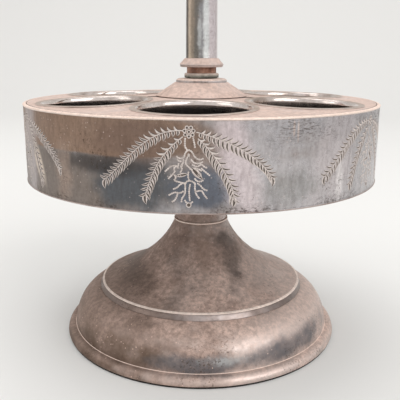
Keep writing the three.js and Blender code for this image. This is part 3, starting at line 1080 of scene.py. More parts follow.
# A painted highlight: the bright line on top of the skirt's band.
EDGE_HIGHLIGHT = SilverPlate(
    "edge_painted_highlight", clean=seen(1.0, 0.95, 0.91), cover=0.0, shine=0.3, dusting=1.0,
    dust=seen(0.98, 0.91, 0.87), dust_slope=0.1, veil=0.6, spots=0.0,
)
DRUM_SILVER = DrumSilver(
    "drum_silver_tarnish_and_painted_reflections", low=WALL.base, high=WALL.top, clean=seen(0.73, 0.72, 0.73),
    tarnish=seen(0.62, 0.59, 0.58), cover=0.45, shine=0.2, lean=0.3, patch=24.0, dusting=0.0, veil=0.12,
    dust=seen(0.80, 0.74, 0.72), spots=0.06, specks=0.5, streaks=0.22,
    # Tarnish and two scratches, among painted reflections and painted highlights.
    stain_and_light_patches=(
        # Tarnish and painted reflection: the lower left darker.
        StainAndLightPatch((-56.0, 97.5), (56.0, 12.5), seen(0.50, 0.46, 0.43), 0.8, 0.25, 0.25, 24.0),
        # Painted reflection: blue-grey.
        StainAndLightPatch((-24.0, 98.0), (17.0, 10.0), seen(0.34, 0.37, 0.40), 0.8, 0.4, 0.35, 12.0),
        # Painted reflection: slate blue.
        StainAndLightPatch((6.0, 97.5), (15.0, 9.0), SLATE, 0.9, 0.3, 0.25, 14.0),
        # Painted reflection: a dark band below the brown.
        StainAndLightPatch((-34.0, 105.5), (22.0, 4.0), seen(0.28, 0.27, 0.27), 0.8, 0.6, 0.35, 8.0),
        # Tarnish and painted reflection: brown over the upper left, with a sharp lower edge.
        StainAndLightPatch((-62.0, 117.2), (66.0, 8.4), BROWN, 0.95, 0.08, 0.08, 30.0, 0.0, 2.5),
        StainAndLightPatch((-20.0, 115.5), (20.0, 7.5), seen(0.50, 0.42, 0.38), 0.7, 0.4, 0.3, 12.0),
        StainAndLightPatch((7.0, 113.5), (11.0, 8.0), seen(0.56, 0.48, 0.43), 0.75, 0.4, 0.4, 10.0),
        # Painted reflection: a pale leaning band.
        StainAndLightPatch((19.0, 107.0), (7.0, 26.0), seen(0.87, 0.82, 0.83), 0.85, 0.45, 0.3, 12.0, -0.22),
        # Painted reflection: a lilac upright band on the left.
        StainAndLightPatch((-76.0, 112.0), (5.0, 30.0), LILAC, 0.7, 0.5, 0.3, 14.0),
        # Painted reflection: a lilac upright band on the right.
        StainAndLightPatch((60.0, 106.0), (9.0, 22.0), LILAC, 0.6, 0.5, 0.4, 20.0, 0.2),
        StainAndLightPatch((40.0, 96.0), (12.0, 6.0), seen(0.58, 0.58, 0.57), 0.5, 0.5, 0.5, 9.0),
        # Painted highlight: a thin bright upright streak.
        StainAndLightPatch((62.0, 96.0), (1.6, 9.0), seen(0.98, 0.96, 0.96), 0.6, 0.6, 0.3, 8.0),
        # Painted highlight: a bright upright strip near the left edge.
        StainAndLightPatch((-69.5, 101.0), (2.6, 8.0), seen(0.92, 0.86, 0.80), 0.85, 0.4, 0.2, 8.0, -0.3),
        # Painted reflection: a paler upright strip.
        StainAndLightPatch((-54.0, 99.0), (3.6, 11.0), seen(0.70, 0.62, 0.57), 0.6, 0.6, 0.4, 6.0),
        # Two fine scratches.
        StainAndLightPatch((40.7, 120.0), (0.45, 3.2), ROSE, 0.75, 0.3, 0.2, 4.0),
        StainAndLightPatch((42.4, 118.8), (0.4, 4.2), ROSE, 0.75, 0.3, 0.2, 4.0),
    ),
)
DUSTY_SILVER = SilverPlate(
    "dusty_silver_matt", dusting=1.0, dust=seen(0.84, 0.745, 0.70), dust_slope=0.1, veil=0.6, cover=0.4,
    shine=0.35,
)
DISC_SILVER = replace(
    DUSTY_SILVER, name="disc_silver_rubbed", dust=seen(0.88, 0.79, 0.74), dust_slope=0.2, veil=0.5,
    tarnish=seen(0.5, 0.42, 0.37),
)
LIP_SILVER = SilverPlate(
    "lip_silver_rubbed", clean=seen(0.90, 0.86, 0.84), dusting=0.85, dust_slope=0.62,
    dust=seen(0.61, 0.53, 0.47), cover=0.25, shine=0.09, veil=0.02, spots=0.0, specks=0.0, relief=0.004,
)
# Pale enough to stand as a painted highlight along the wires and the foot's crease, over rubbed silver.
WIRE_SILVER_AND_HIGHLIGHT = SilverPlate(
    "rim_silver_rubbed_painted_highlight", clean=seen(0.95, 0.89, 0.85), dusting=1.0, dust=seen(0.94, 0.85, 0.80),
    dust_slope=0.2, cover=0.1, shine=0.3, spots=0.0, veil=0.25,
)
POST_SILVER = SilverPlate(
    "post_silver_pitted_painted_reflections", clean=seen(0.62, 0.62, 0.63), tarnish=seen(0.52, 0.51, 0.50), cover=0.3, shine=0.07,
    dusting=0.5, patch=10.0, spots=0.2, spot=1.2, veil=0.05, brushing=0.35, relief=0.008, dust_cleared=0.0,
    # Painted reflections: upright bright and dark streaks down the whole post, and one small painted
    # highlight near its foot.
    stain_and_light_patches=(
        StainAndLightPatch((-4.2, 240.0), (2.6, 400.0), seen(0.64, 0.58, 0.51), 0.85, 0.4, 0.25, 7.0),
        StainAndLightPatch((-6.1, 240.0), (1.0, 400.0), seen(0.86, 0.79, 0.71), 0.85, 0.7, 0.3, 7.0),
        StainAndLightPatch((-8.6, 240.0), (2.1, 400.0), seen(0.27, 0.25, 0.23), 0.92, 0.3, 0.12, 9.0),
        StainAndLightPatch((-2.2, 240.0), (1.2, 400.0), seen(0.45, 0.45, 0.44), 0.75, 0.7, 0.35, 6.0),
        StainAndLightPatch((2.9, 240.0), (1.7, 400.0), seen(0.96, 0.97, 0.97), 0.9, 0.5, 0.4, 4.0),
        StainAndLightPatch((6.2, 240.0), (2.3, 400.0), seen(0.90, 0.86, 0.87), 0.9, 0.3, 0.2, 6.0),
        StainAndLightPatch((-0.6, 158.0), (1.0, 8.0), seen(0.84, 0.85, 0.85), 0.7, 0.6, 0.6, 2.0),
        StainAndLightPatch((9.3, 240.0), (1.0, 400.0), seen(0.50, 0.48, 0.49), 0.8, 0.35, 0.12, 9.0),
    ),
)
HANDLE_SILVER = replace(
    POST_SILVER, name="handle_silver_rubbed", clean=seen(0.74, 0.73, 0.73),
    tarnish=seen(0.60, 0.56, 0.53), cover=0.4, stain_and_light_patches=(),
)
# Dark inside the drum, under the top plate and inside the foot: tarnish, and painted shade where the light
# does not reach.
INSIDE_TARNISH_AND_SHADE = DullMetal(
    "silver_tarnish_and_painted_shade_inside", seen(0.20, 0.17, 0.15), seen(0.09, 0.08, 0.07), sheen=0.4, roughness=0.6,
    patch=9.0,
)
COPPER = SilverPlate(
    "copper_oxidised", clean=seen(0.74, 0.57, 0.49), tarnish=seen(0.54, 0.39, 0.33), patch=5.0, veil=0.3,
    dust_slope=0.3, shine=0.4,
)
GREEN_WASHER = SilverPlate(
    "washer_green_corroded", clean=seen(0.62, 0.64, 0.61), tarnish=seen(0.38, 0.41, 0.38), patch=6.0,
    spots=0.2, dusting=1.0, dust_slope=-0.2, dust=seen(0.88, 0.82, 0.78), shine=0.5, veil=0.15,
)
BRASS = DullMetal(
    "brass_dull", seen(0.66, 0.55, 0.36), seen(0.42, 0.33, 0.20), sheen=0.9, roughness=0.4, patch=5.0,
)
STEEL = DullMetal(
    "steel_dull", seen(0.50, 0.49, 0.49), seen(0.30, 0.28, 0.27), sheen=0.9, roughness=0.4, patch=4.0,
)
# The engraving: its pale cuts are a painted highlight, its dark cuts are grime in the cuts with painted
# shadow beside them.
CUT_HIGHLIGHT = DullMetal(
    "cut_painted_highlight", seen(0.88, 0.84, 0.82), seen(0.70, 0.66, 0.64), sheen=0.45, roughness=0.4, patch=1.6,
    relief=0.01,
)
CUT_GRIME_AND_SHADOW = DullMetal(
    "cut_grime_and_painted_shadow", seen(0.43, 0.385, 0.36), seen(0.28, 0.25, 0.23), sheen=0.4, roughness=0.5, patch=1.0,
    relief=0.01,
)


@dataclass
class Foot:
    """Spun foot, trumpet skirt and the bright ring between skirt and neck."""

    flange_height: float = 5.3
    flange_run: float = 4.3
    flange_turn: float = 74.0
    toe: float = 1.3
    toe_round: float = 0.5
    rolled_edge: float = 5.0
    dome_run: float = 14.0
    shelf: float = 7.0
    wall: float = 1.6
    swell: tuple[Pair, Pair] = ((0.06, 0.55), (0.57, 0.84))
    crease_out: float = 0.2
    crease_half: float = 0.45
    crease_heights: Pair = (-0.25, 0.2)
    band_height: float = 3.2
    band_taper: float = 1.1
    band_hollow: float = 0.35
    band_lip: float = 0.35
    band_waist: Pair = (0.5, 0.45)
    band_brow: float = 0.6
    line_half: float = 0.5
    line_width: float = 0.8
    skirt_sweep: tuple[Pair, Pair] = ((0.31, 0.12), (0.8, 0.42))
    neck_radius: float = 14.3
    skirt_top: float = 1.8
    bore: float = ROD_BORE
    bead_bore: float = 11.8
    edge: float = 0.2
    bead_edge: float = 0.1
    round_steps: int = 10
    dome_steps: int = 26
    dome_lining_steps: int = 14
    sweep_steps: int = 36
    sweep_lining_steps: int = 26

    def spun_foot(self) -> None:
        """Builds the rounded flange, the bulging dome and the shelf for the skirt."""
        reach = Extent.of("foot_shell")
        dome_radius = reach.radius - self.flange_run
        rim = dome_radius - self.dome_run
        rise = reach.top - self.flange_height
        (low_run, low_rise), (high_run, high_rise) = self.swell
        dome = Sweep(
            (dome_radius, self.flange_height),
            (dome_radius - low_run * self.dome_run, self.flange_height + low_rise * rise),
            (rim + high_run * self.dome_run, self.flange_height + high_rise * rise),
            (rim, reach.top),
        )
        contact = reach.radius - self.toe_round
        toe_rise = self.flange_height - self.toe
        section = [
            (contact - self.rolled_edge, 0.0),
            (contact, 0.0),
            *arc((dome_radius, self.toe), self.flange_run, toe_rise, 0, self.flange_turn, self.round_steps),
            *dome.points(self.dome_steps),
            (rim - self.shelf, reach.top),
            (rim - self.shelf, reach.top - self.wall),
            *reversed(dome.points(self.dome_lining_steps, self.wall)),
            (contact - self.rolled_edge, toe_rise),
        ]
        low, high = (self.flange_height + height for height in self.crease_heights)

        def coat(middle: Vector, normal: Vector) -> int:
            """Picks out the crease between flange and dome as a bright line, a painted highlight."""
            crease = abs(middle.xy.length - dome_radius - self.crease_out) < self.crease_half
            return hidden_side(middle, normal) or Coat.LINE * int(crease and low < middle.z < high)

        # Inside the foot is dark as tarnish and painted shade; the crease line is a painted highlight.
        turned(
            "spun_foot", "foot_shell", Body.STAND, Slot.FOOT, section, self.edge,
            [FOOT_SILVER, INSIDE_TARNISH_AND_SHADE, WIRE_SILVER_AND_HIGHLIGHT], coat, Facets.WIDE,
        )

    def skirt(self) -> None:
        """Builds the hollow-edged band, the trumpet sweep and the closed top."""
        reach = Extent.of("pedestal_skirt")
        edge = reach.radius - self.band_taper
        band_top = reach.base + self.band_height
        run, rise = edge - self.neck_radius, reach.top - band_top
        (low_run, low_rise), (high_run, high_rise) = self.skirt_sweep
        sweep = Sweep(
            (edge, band_top),
            (edge - low_run * run, band_top + low_rise * rise),
            (edge - high_run * run, band_top + high_rise * rise),
            (self.neck_radius, reach.top),
        )
        waist = reach.radius - self.band_waist[0] * self.band_taper - self.band_hollow
        band = [
            (reach.radius, reach.base),
            (reach.radius, reach.base + self.band_lip),
            (waist, reach.base + self.band_waist[1] * self.band_height),
            (edge - self.band_hollow, band_top - self.band_brow),
            (edge, band_top - self.band_lip),
        ]
        underside = reach.top - self.skirt_top
        lining = sweep.points(self.sweep_lining_steps, self.wall)
        inside = [place for place in lining if place[1] < underside - self.wall]
        section = [
            *band,
            *sweep.points(self.sweep_steps),
            (self.bore, reach.top),
            (self.bore, underside),
            (min(inside[-1][0], self.neck_radius - self.wall), underside),
            *reversed(inside),
            (edge - self.wall, reach.base),
        ]

        def coat(middle: Vector, normal: Vector) -> int:
            """Picks out the hollow-edged band, whose finish holds painted shade, and the bright line on top
            of it, a painted highlight.

            Args:
                middle: Middle of a face.
                normal: Its normal.

            Returns:
                Number of the coat.
            """
            if hidden_side(middle, normal) and middle.xy.length < edge - self.wall / 2:
                return Coat.INSIDE
            if abs(middle.z - band_top) < self.line_half and middle.xy.length > edge - self.line_width:
                return Coat.LINE
            return Coat.BAND if middle.z < band_top else Coat.PLAIN

        # Inside the skirt is dark as tarnish and painted shade, the band carries painted shade and the line
        # on top of it is a painted highlight.
        turned(
            "trumpet_skirt", "pedestal_skirt", Body.STAND, Slot.FOOT, section, self.edge,
            [FOOT_SILVER, INSIDE_TARNISH_AND_SHADE, EDGE_HIGHLIGHT, BAND_SILVER], coat, Facets.WIDE,
        )

    def neck_bead(self) -> None:
        """Builds the thin ring, painted pale as a highlight."""
        reach = Extent.of("neck_ring")
        half = (reach.top - reach.base) / 2
        section = [
            (self.bead_bore, reach.base),
            *arc((reach.radius - half, reach.base + half), half, half, -90, 90, self.round_steps),
            (self.bead_bore, reach.top),
        ]
        turned("neck_bead", "neck_ring", Body.STAND, Slot.LIP, section, self.bead_edge, [WIRE_SILVER_AND_HIGHLIGHT])

    def build(self) -> None:
        """Builds every piece of the foot."""
        self.spun_foot()
        self.skirt()
        self.neck_bead()


@dataclass
class Neck:
    """Waisted spool under the drum and the thrust washer on it."""

    foot_radius: float = 13.8
    waist_radius: float = 11.0
    seat_height: float = 2.0
    spigot_radius: float = 11.5
    spigot_depth: float = 1.0
    waist: Pair = (0.3, 0.75)
    bore: float = ROD_BORE
    edge: float = 0.2
    waist_steps: int = 24

    def spool(self) -> None:
        """Builds the neck that widens to the seat under the drum."""
        reach = Extent.of("spool_neck")
        base = reach.base + self.spigot_depth
        seat_base = reach.top - self.seat_height
        rise = seat_base - base
        curve = Sweep(
            (self.foot_radius, base),
            (self.waist_radius, base + self.waist[0] * rise),
            (self.waist_radius, base + self.waist[1] * rise),
            (reach.radius - self.seat_height / 2, seat_base),
        )
        section = [
            (self.bore, reach.base),
            (self.spigot_radius, reach.base),
            (self.spigot_radius, base),
            *curve.points(self.waist_steps),
            (reach.radius, seat_base + self.seat_height / 2),
            (reach.radius, reach.top),
            (self.bore, reach.top),
        ]
        turned("waisted_spool", "spool_neck", Body.STAND, Slot.FOOT, section, self.edge, [FOOT_SILVER])

    def build(self) -> None:
        """Builds the neck's two pieces."""
        self.spool()
        turned("thrust_washer", "seat_washer", Body.STAND, Slot.BRASS, self.bore, self.edge, [BRASS])


@dataclass
class Drum:
    """Wall, wires, floor and bearing of the drum."""

    wall: float = 1.4
    shoulder: float = 0.4
    wire_round: float = 1.4
    rim_proud: float = 0.3
    rim_share: float = 0.5
    pocket_depth: float = 0.6
    pocket_radius: float = 24.6
    layer_overlap: float = 0.05
    bush_bore: float = ROD_BORE
    bush_hole: float = BUSH_HOLE
    edge: float = 0.1
    bearing_edge: float = 0.2
    upper_steps: int = 12
    lower_steps: int = 10

    def wall_sheet(self) -> None:
        """Builds the wall, with tarnish, painted reflections and painted highlights outside, and dark inside
        as tarnish and painted shade.
        """
        turned(
            "engraved_wall", "drum_wall", Body.CAROUSEL, Slot.DRUM, WALL.radius - self.wall, self.edge,
            [DRUM_SILVER, INSIDE_TARNISH_AND_SHADE], hidden_side, Facets.WIDE,
        )

    def upper_wire(self) -> None:
        """Builds the rounded wire on the wall's upper edge, painted pale as a highlight line."""
        reach = Extent.of("top_rim")
        inner, shoulder = WALL.radius - self.wall, reach.base + self.shoulder
        middle = (reach.radius - self.wire_round, shoulder)
        section = [
            (inner, reach.base),
            (WALL.radius, reach.base),
            *arc(middle, self.wire_round, reach.top - shoulder, 0, 90, self.upper_steps),
            (inner, reach.top),
        ]
        turned(
            "upper_wire", "top_rim", Body.CAROUSEL, Slot.LIP, section, self.edge, [WIRE_SILVER_AND_HIGHLIGHT],
            facets=Facets.WIDE,
        )

    def lower_wire(self) -> None:
        """Builds the thin wire on the wall's lower edge."""
        reach = Extent.of("bottom_rim")
        inner, half = WALL.radius - self.wall, self.rim_share * (reach.top - reach.base) / 2
        section = [
            (inner, reach.base),
            *arc((WALL.radius, reach.base + half), self.rim_proud, half, -90, 90, self.lower_steps),
            (WALL.radius, reach.top),
            (inner, reach.top),
        ]

        def coat(middle: Vector, normal: Vector) -> int:
            """Leaves the flush part above the wire as dark as the wall."""
            return int(middle.z > reach.base + 2 * half)

        turned(
            "lower_wire", "bottom_rim", Body.CAROUSEL, Slot.LIP, section, self.edge,
            [BAND_SILVER, DRUM_SILVER], coat, Facets.WIDE,
        )

    def well_floor(self, wells: list[Pair]) -> None:
        """Builds the floor on which the bottles stand, with a shallow seat below each opening.

        Args:
            wells: Middle of each opening.
        """
        reach = Extent.of("floor_plate")
        outline, hole = circle(reach.radius, Facets.WIDE.value), circle(self.bush_hole, Facets.NARROW.value)
        pockets = [circle(self.pocket_radius, Facets.MIDDLE.value, well) for well in wells]
        bottom = reach.top - self.pocket_depth
        shape = Shape().plate([outline, hole], reach.base, bottom)
        shape.plate([outline, *pockets, hole], bottom - self.layer_overlap, reach.top)
        # The floor is dark all over, as tarnish and painted shade inside the drum.
        seat(shape.make("well_floor", [INSIDE_TARNISH_AND_SHADE]), Body.CAROUSEL, Slot.DUSTY, "floor_plate")

    def bearing(self) -> None:
        """Builds the bearing tube and the boss that turns on the thrust washer."""
        for name, node, bore in (
            ("bearing_tube", "drum_bush", self.bush_bore),
            ("bearing_boss", "drum_boss", self.bush_hole),
        ):
            turned(name, node, Body.CAROUSEL, Slot.BRASS, bore, self.bearing_edge, [BRASS])

    def build(self, wells: list[Pair]) -> None:
        """Builds every piece of the drum below its top plate.

        Args:
            wells: Middle of each opening.
        """
        self.wall_sheet()
        self.upper_wire()
        self.lower_wire()
        self.well_floor(wells)
        self.bearing()


@dataclass
class TopPlate:
    """Plate that rises a little towards the middle, with its six lips, low cone and turned disc."""

    thickness: float = 1.4
    bush_hole: float = BUSH_HOLE
    bush_bore: float = ROD_BORE
    seam_gap: float = 0.3
    lap_gap: float = 0.05
    well_radius: float = 24.3
    well_count: int = 6
    lip_wall: float = 1.0
    lip_height: float = 0.5
    lip_edge: float = 0.25
    lip_roll: float = 2.4
    lip_depth: float = 7.0
    cone_wall: float = 1.4
    cone_edge: float = 0.3
    cone_ledge: float = 0.6
    cone_round: float = 0.25
    disc_edge: float = 0.9
    disc_shoulder: float = 2.4
    edge: float = 0.1
    crest_steps: int = 8
    round_steps: int = 14
    sheet: Extent = field(default_factory=lambda: Extent.of("top_plate"))

    @property
    def wells(self) -> list[Pair]:
        """Gives the middle of each opening, the front one first."""
        return [Extent.of(f"well_collar_{number + 1}").centre for number in range(self.well_count)]

    def rise_at(self, distance: float) -> float:
        """Says how far the plate has risen above its edge, at a distance from the axis."""
        rise = self.sheet.top - self.sheet.base - self.thickness
        return rise * (self.sheet.radius - distance) / (self.sheet.radius - self.bush_hole)

    def opening_sheet(self) -> None:
        """Builds the plate with its openings, dusty above and dark below as tarnish and painted shade."""
        outlines = [circle(self.sheet.radius, Facets.WIDE.value)]
        hole = self.well_radius + self.lip_wall + self.seam_gap
        outlines += [circle(hole, Facets.MIDDLE.value, well) for well in self.wells]
        outlines.append(circle(self.bush_hole, Facets.NARROW.value))
        shape = Shape().plate(outlines, self.sheet.base, self.sheet.base + self.thickness).lift(self.rise_at)
        piece = shape.make("opening_sheet", [DUSTY_SILVER, INSIDE_TARNISH_AND_SHADE], under_side)
        seat(piece, Body.CAROUSEL, Slot.DUSTY, "top_plate")

    def lip(self, number: int, middle: Pair) -> None:
        """Builds one rolled lip.

        Args:
            number: Number of the opening, from 1.
            middle: Middle of the opening.
        """
        node = f"well_collar_{number}"
        plate_top = self.sheet.base + self.thickness
        base = plate_top + self.lap_gap
        half = (Extent.of(node).radius - self.well_radius) / 2
        crest = self.well_radius + half
        edge_top, roll_base = base + self.lip_edge, base + self.lip_height - self.lip_roll
        section = [
            (self.well_radius, plate_top - self.lip_depth),
            (self.well_radius + self.lip_wall, plate_top - self.lip_depth),
            (self.well_radius + self.lip_wall, base),
            (crest + half, base),
            *arc((crest, edge_top), half, self.lip_height - self.lip_edge, 0, 90, self.crest_steps),
            *arc((crest, roll_base), half, self.lip_roll, 90, 180, self.round_steps)[1:],
        ]
        shape = Shape().spin(soften(section, self.edge), Facets.MIDDLE, middle).lift(self.rise_at)
        seat(shape.make(f"rolled_lip_{number}", [LIP_SILVER]), Body.CAROUSEL, Slot.LIP, node)

    def low_cone(self) -> None:
        """Builds the low cone in the middle of the plate."""
        reach = Extent.of("centre_cone")
        plate_top = self.sheet.base + self.thickness
        foot = plate_top + self.rise_at(reach.radius)
        inner_foot = reach.radius - 2 * self.cone_wall
        top_radius = Extent.of("moulded_disc").radius + self.cone_ledge
        underside = reach.top - self.cone_wall
        section = [
            (inner_foot, plate_top + self.rise_at(inner_foot) + self.lap_gap),
            (reach.radius, foot + self.lap_gap),
            (reach.radius, foot + self.cone_edge),
            (top_radius, reach.top),
            (self.bush_hole, reach.top),
            (self.bush_hole, underside),
            (top_radius - self.cone_wall / 2, underside),
        ]
        edge = self.cone_round
        turned("low_cone", "centre_cone", Body.CAROUSEL, Slot.DUSTY, section, edge, [DUSTY_SILVER])

    def turned_disc(self) -> None:
        """Builds the disc with a rounded shoulder."""
        reach = Extent.of("moulded_disc")
        edge_top, shoulder = reach.base + self.disc_edge, self.disc_shoulder
        middle = (reach.radius - shoulder, edge_top)
        section = [
            (self.bush_bore, reach.base),
            (reach.radius, reach.base),
            *arc(middle, shoulder, reach.top - edge_top, 0, 90, self.round_steps),
            (self.bush_bore, reach.top),
        ]
        turned("turned_disc", "moulded_disc", Body.CAROUSEL, Slot.DUSTY, section, self.edge, [DISC_SILVER])

    def build(self) -> None:
        """Builds every piece on top of the drum."""
        self.opening_sheet()
        for number, middle in enumerate(self.wells, start=1):
            self.lip(number, middle)
        self.low_cone()
        self.turned_disc()


class Cut(Enum):
    """Section of an engraved stroke: share of the half width, height and coat of each step across it.

    Heights are in shares of the burr; coat 0 is the pale painted highlight and coat 1 the dark of grime and
    painted shadow.
    """

    LINE = ((-1.0, -0.7, 0), (-0.75, 1.0, 0), (0.35, 0.8, 1), (0.85, 0.2, 1), (1.0, -0.7, 1))
    LEAF = ((-1.0, -0.7, 0), (-0.8, 1.0, 0), (-0.38, 0.2, 1), (0.42, 0.2, 0), (0.82, 1.0, 0), (1.0, -0.7, 1))
    BEADS = ((-1.0, -0.7, 1), (-0.85, 0.3, 0), (-0.4, 1.0, 0), (0.4, 1.0, 0), (0.7, 0.4, 1), (1.0, -0.7, 1))


@dataclass(frozen=True)
class Stroke:
    """One engraved stroke on the unrolled wall.

    Attributes:
        line: Points, as distance across from the spray's middle and height.
        widths: Width of the stroke at each point.
        cut: Its section.
    """

    line: Section
    widths: list[float]
    cut: Cut = Cut.LINE

    def sides(self) -> list[Pair]:
        """Gives the direction square to the line at each point.

        Returns:
            The directions, to the left of travel.
        """
        count, found = len(self.line), []
        for index in range(count):
            before, after = self.line[max(0, index - 1)], self.line[min(count - 1, index + 1)]
            along = Vector((after[0] - before[0], after[1] - before[1])).normalized()
            found.append((-along.y, along.x))
        return found


@dataclass(frozen=True)
class Frond:
    """One fern frond: its stem and the leaflets on both sides.

    Attributes:
        stem: Middle line of the stem.
        hand: 1 if it hangs to the right, -1 if to the left.
        curls: Number of leaflets above the stem.
        blades: Number of leaflets below it.
        lean: How far the blades' tips lie to the right of their foot, first and last, in degrees.
        reach: Length of a full blade.
    """

    stem: Sweep
    hand: int
    curls: int
    blades: int
    lean: Pair
    reach: float

    SHARES, TIP_SHARE = (0.05, 0.96), 0.99
    FADE, SMALLEST, GROW = 0.94, 0.55, 4.0
    STEM_WIDTH, STEM_STEPS = (0.7, 0.45), 40
    CURL_LENGTH, CURL_WIDTH, CURL_ANGLES, CURL_LEAF = 3.7, 1.15, (22.0, 88.0), 0.35
    CURL_STEPS, CURL_ROOT, CURL_THIN, CURL_FULLEST = 7, 0.3, 0.12, 0.8
    BLADE_WIDTH, TIP_WIDTH, TIP_LENGTH, BOW = 1.6, 2.3, 3.9, 0.12
    UNEVENNESS, WANDER = 0.08, 4.0

    def size(self, progress: float, chance: random.Random) -> float:
        """Says how large a leaflet is.

        Args:
            progress: How far along the frond it grows, from 0 to 1.
            chance: Source of the hand's small unevenness.

        Returns:
            Its size, where 1 is full size.
        """
        fade = 1 - (1 - self.FADE) * progress**2
        grown = self.SMALLEST + (1 - self.SMALLEST) * min(1.0, self.GROW * progress)
        return fade * grown * (1 + chance.uniform(-1, 1) * self.UNEVENNESS)

    def curl(self, progress: float, chance: random.Random) -> Stroke:
        """Cuts one short leaflet that curls away above the stem.

        Args:
            progress: How far along the frond it grows, from 0 to 1.
            chance: Source of the hand's small unevenness.

        Returns:
            The stroke.
        """
        first, last = self.SHARES
        share = first + (last - first) * progress
        x, y = self.stem.at(share)
        along, up = self.stem.heading(share)
        start, end = self.CURL_ANGLES
        wander = chance.uniform(-1, 1) * self.WANDER
        length = self.CURL_LENGTH * self.size(progress, chance) / self.CURL_STEPS
        line, widths = [(x, y)], [self.CURL_ROOT]
        for step in range(self.CURL_STEPS):
            turn = self.hand * math.radians(start + wander + (end - start) * step / self.CURL_STEPS)
            x += (along * math.cos(turn) - up * math.sin(turn)) * length
            y += (along * math.sin(turn) + up * math.cos(turn)) * length
            line.append((x, y))
            swell = math.sin(math.pi * ((step + 1) / self.CURL_STEPS) ** self.CURL_FULLEST)
            widths.append(self.CURL_THIN + self.CURL_WIDTH * swell)
        return Stroke(line, widths, Cut.LEAF if progress > self.CURL_LEAF else Cut.LINE)

    def blade(self, progress: float, chance: random.Random) -> Stroke:
        """Cuts one blade that hangs below the stem.

        Args:
            progress: How far along the frond it grows, from 0 to 1.
            chance: Source of the hand's small unevenness.

        Returns:
            The stroke.
        """
        first, last = self.SHARES
        foot = self.stem.at(first + (last - first) * progress)
        lean = self.lean[0] + (self.lean[1] - self.lean[0]) * progress + chance.uniform(-1, 1) * self.WANDER
        length = self.reach * self.size(progress, chance)
        return leaf(foot, lean, length, self.BLADE_WIDTH, -self.BOW * self.hand)

    def tip(self) -> Stroke:
        """Cuts the leaf at the end of the stem."""
        foot = self.stem.at(self.TIP_SHARE)
        return leaf(foot, self.lean[1] / 3, self.TIP_LENGTH, self.TIP_WIDTH, self.BOW * self.hand)

    def strokes(self, chance: random.Random) -> Iterable[Stroke]:
        """Cuts the blades, the curls, the tip and the stem, in that order.

        Args:
            chance: Source of the hand's small unevenness.

        Yields:
            The strokes.
        """
        for number in range(self.blades):
            yield self.blade(number / (self.blades - 1), chance)
        for number in range(self.curls):
            yield self.curl(number / (self.curls - 1), chance)
        yield self.tip()
        thick, thin = self.STEM_WIDTH
        widths = [thick + (thin - thick) * step / self.STEM_STEPS for step in range(self.STEM_STEPS + 1)]
        yield Stroke(self.stem.points(self.STEM_STEPS), widths)


def leaf(foot: Pair, lean: float, length: float, width: float, bow: float) -> Stroke:
    """Cuts one pointed leaf.

    Args:
        foot: Point from which it hangs.
        lean: How far its tip lies to the right of its foot, in degrees.
        length: Length of the leaf.
        width: Its greatest width.
        bow: How far it bends to the left of a straight line.

    Returns:
        The stroke.
    """
    steps, root, fullest, taper, point = 8, 0.2, 0.8, 0.7, 6
    across, down = math.sin(math.radians(lean)), -math.cos(math.radians(lean))
    line, widths = [], []
    for step in range(steps + 1):
        share = step / steps
        along, out = length * share, bow * length * math.sin(math.pi * share)
        line.append((foot[0] + across * along - down * out, foot[1] + down * along + across * out))
        swell = root + (1 - root) * math.sin(math.pi * share**fullest)
        widths.append(width * swell * (1 - taper * share**point))
    return Stroke(line, widths, Cut.LEAF)


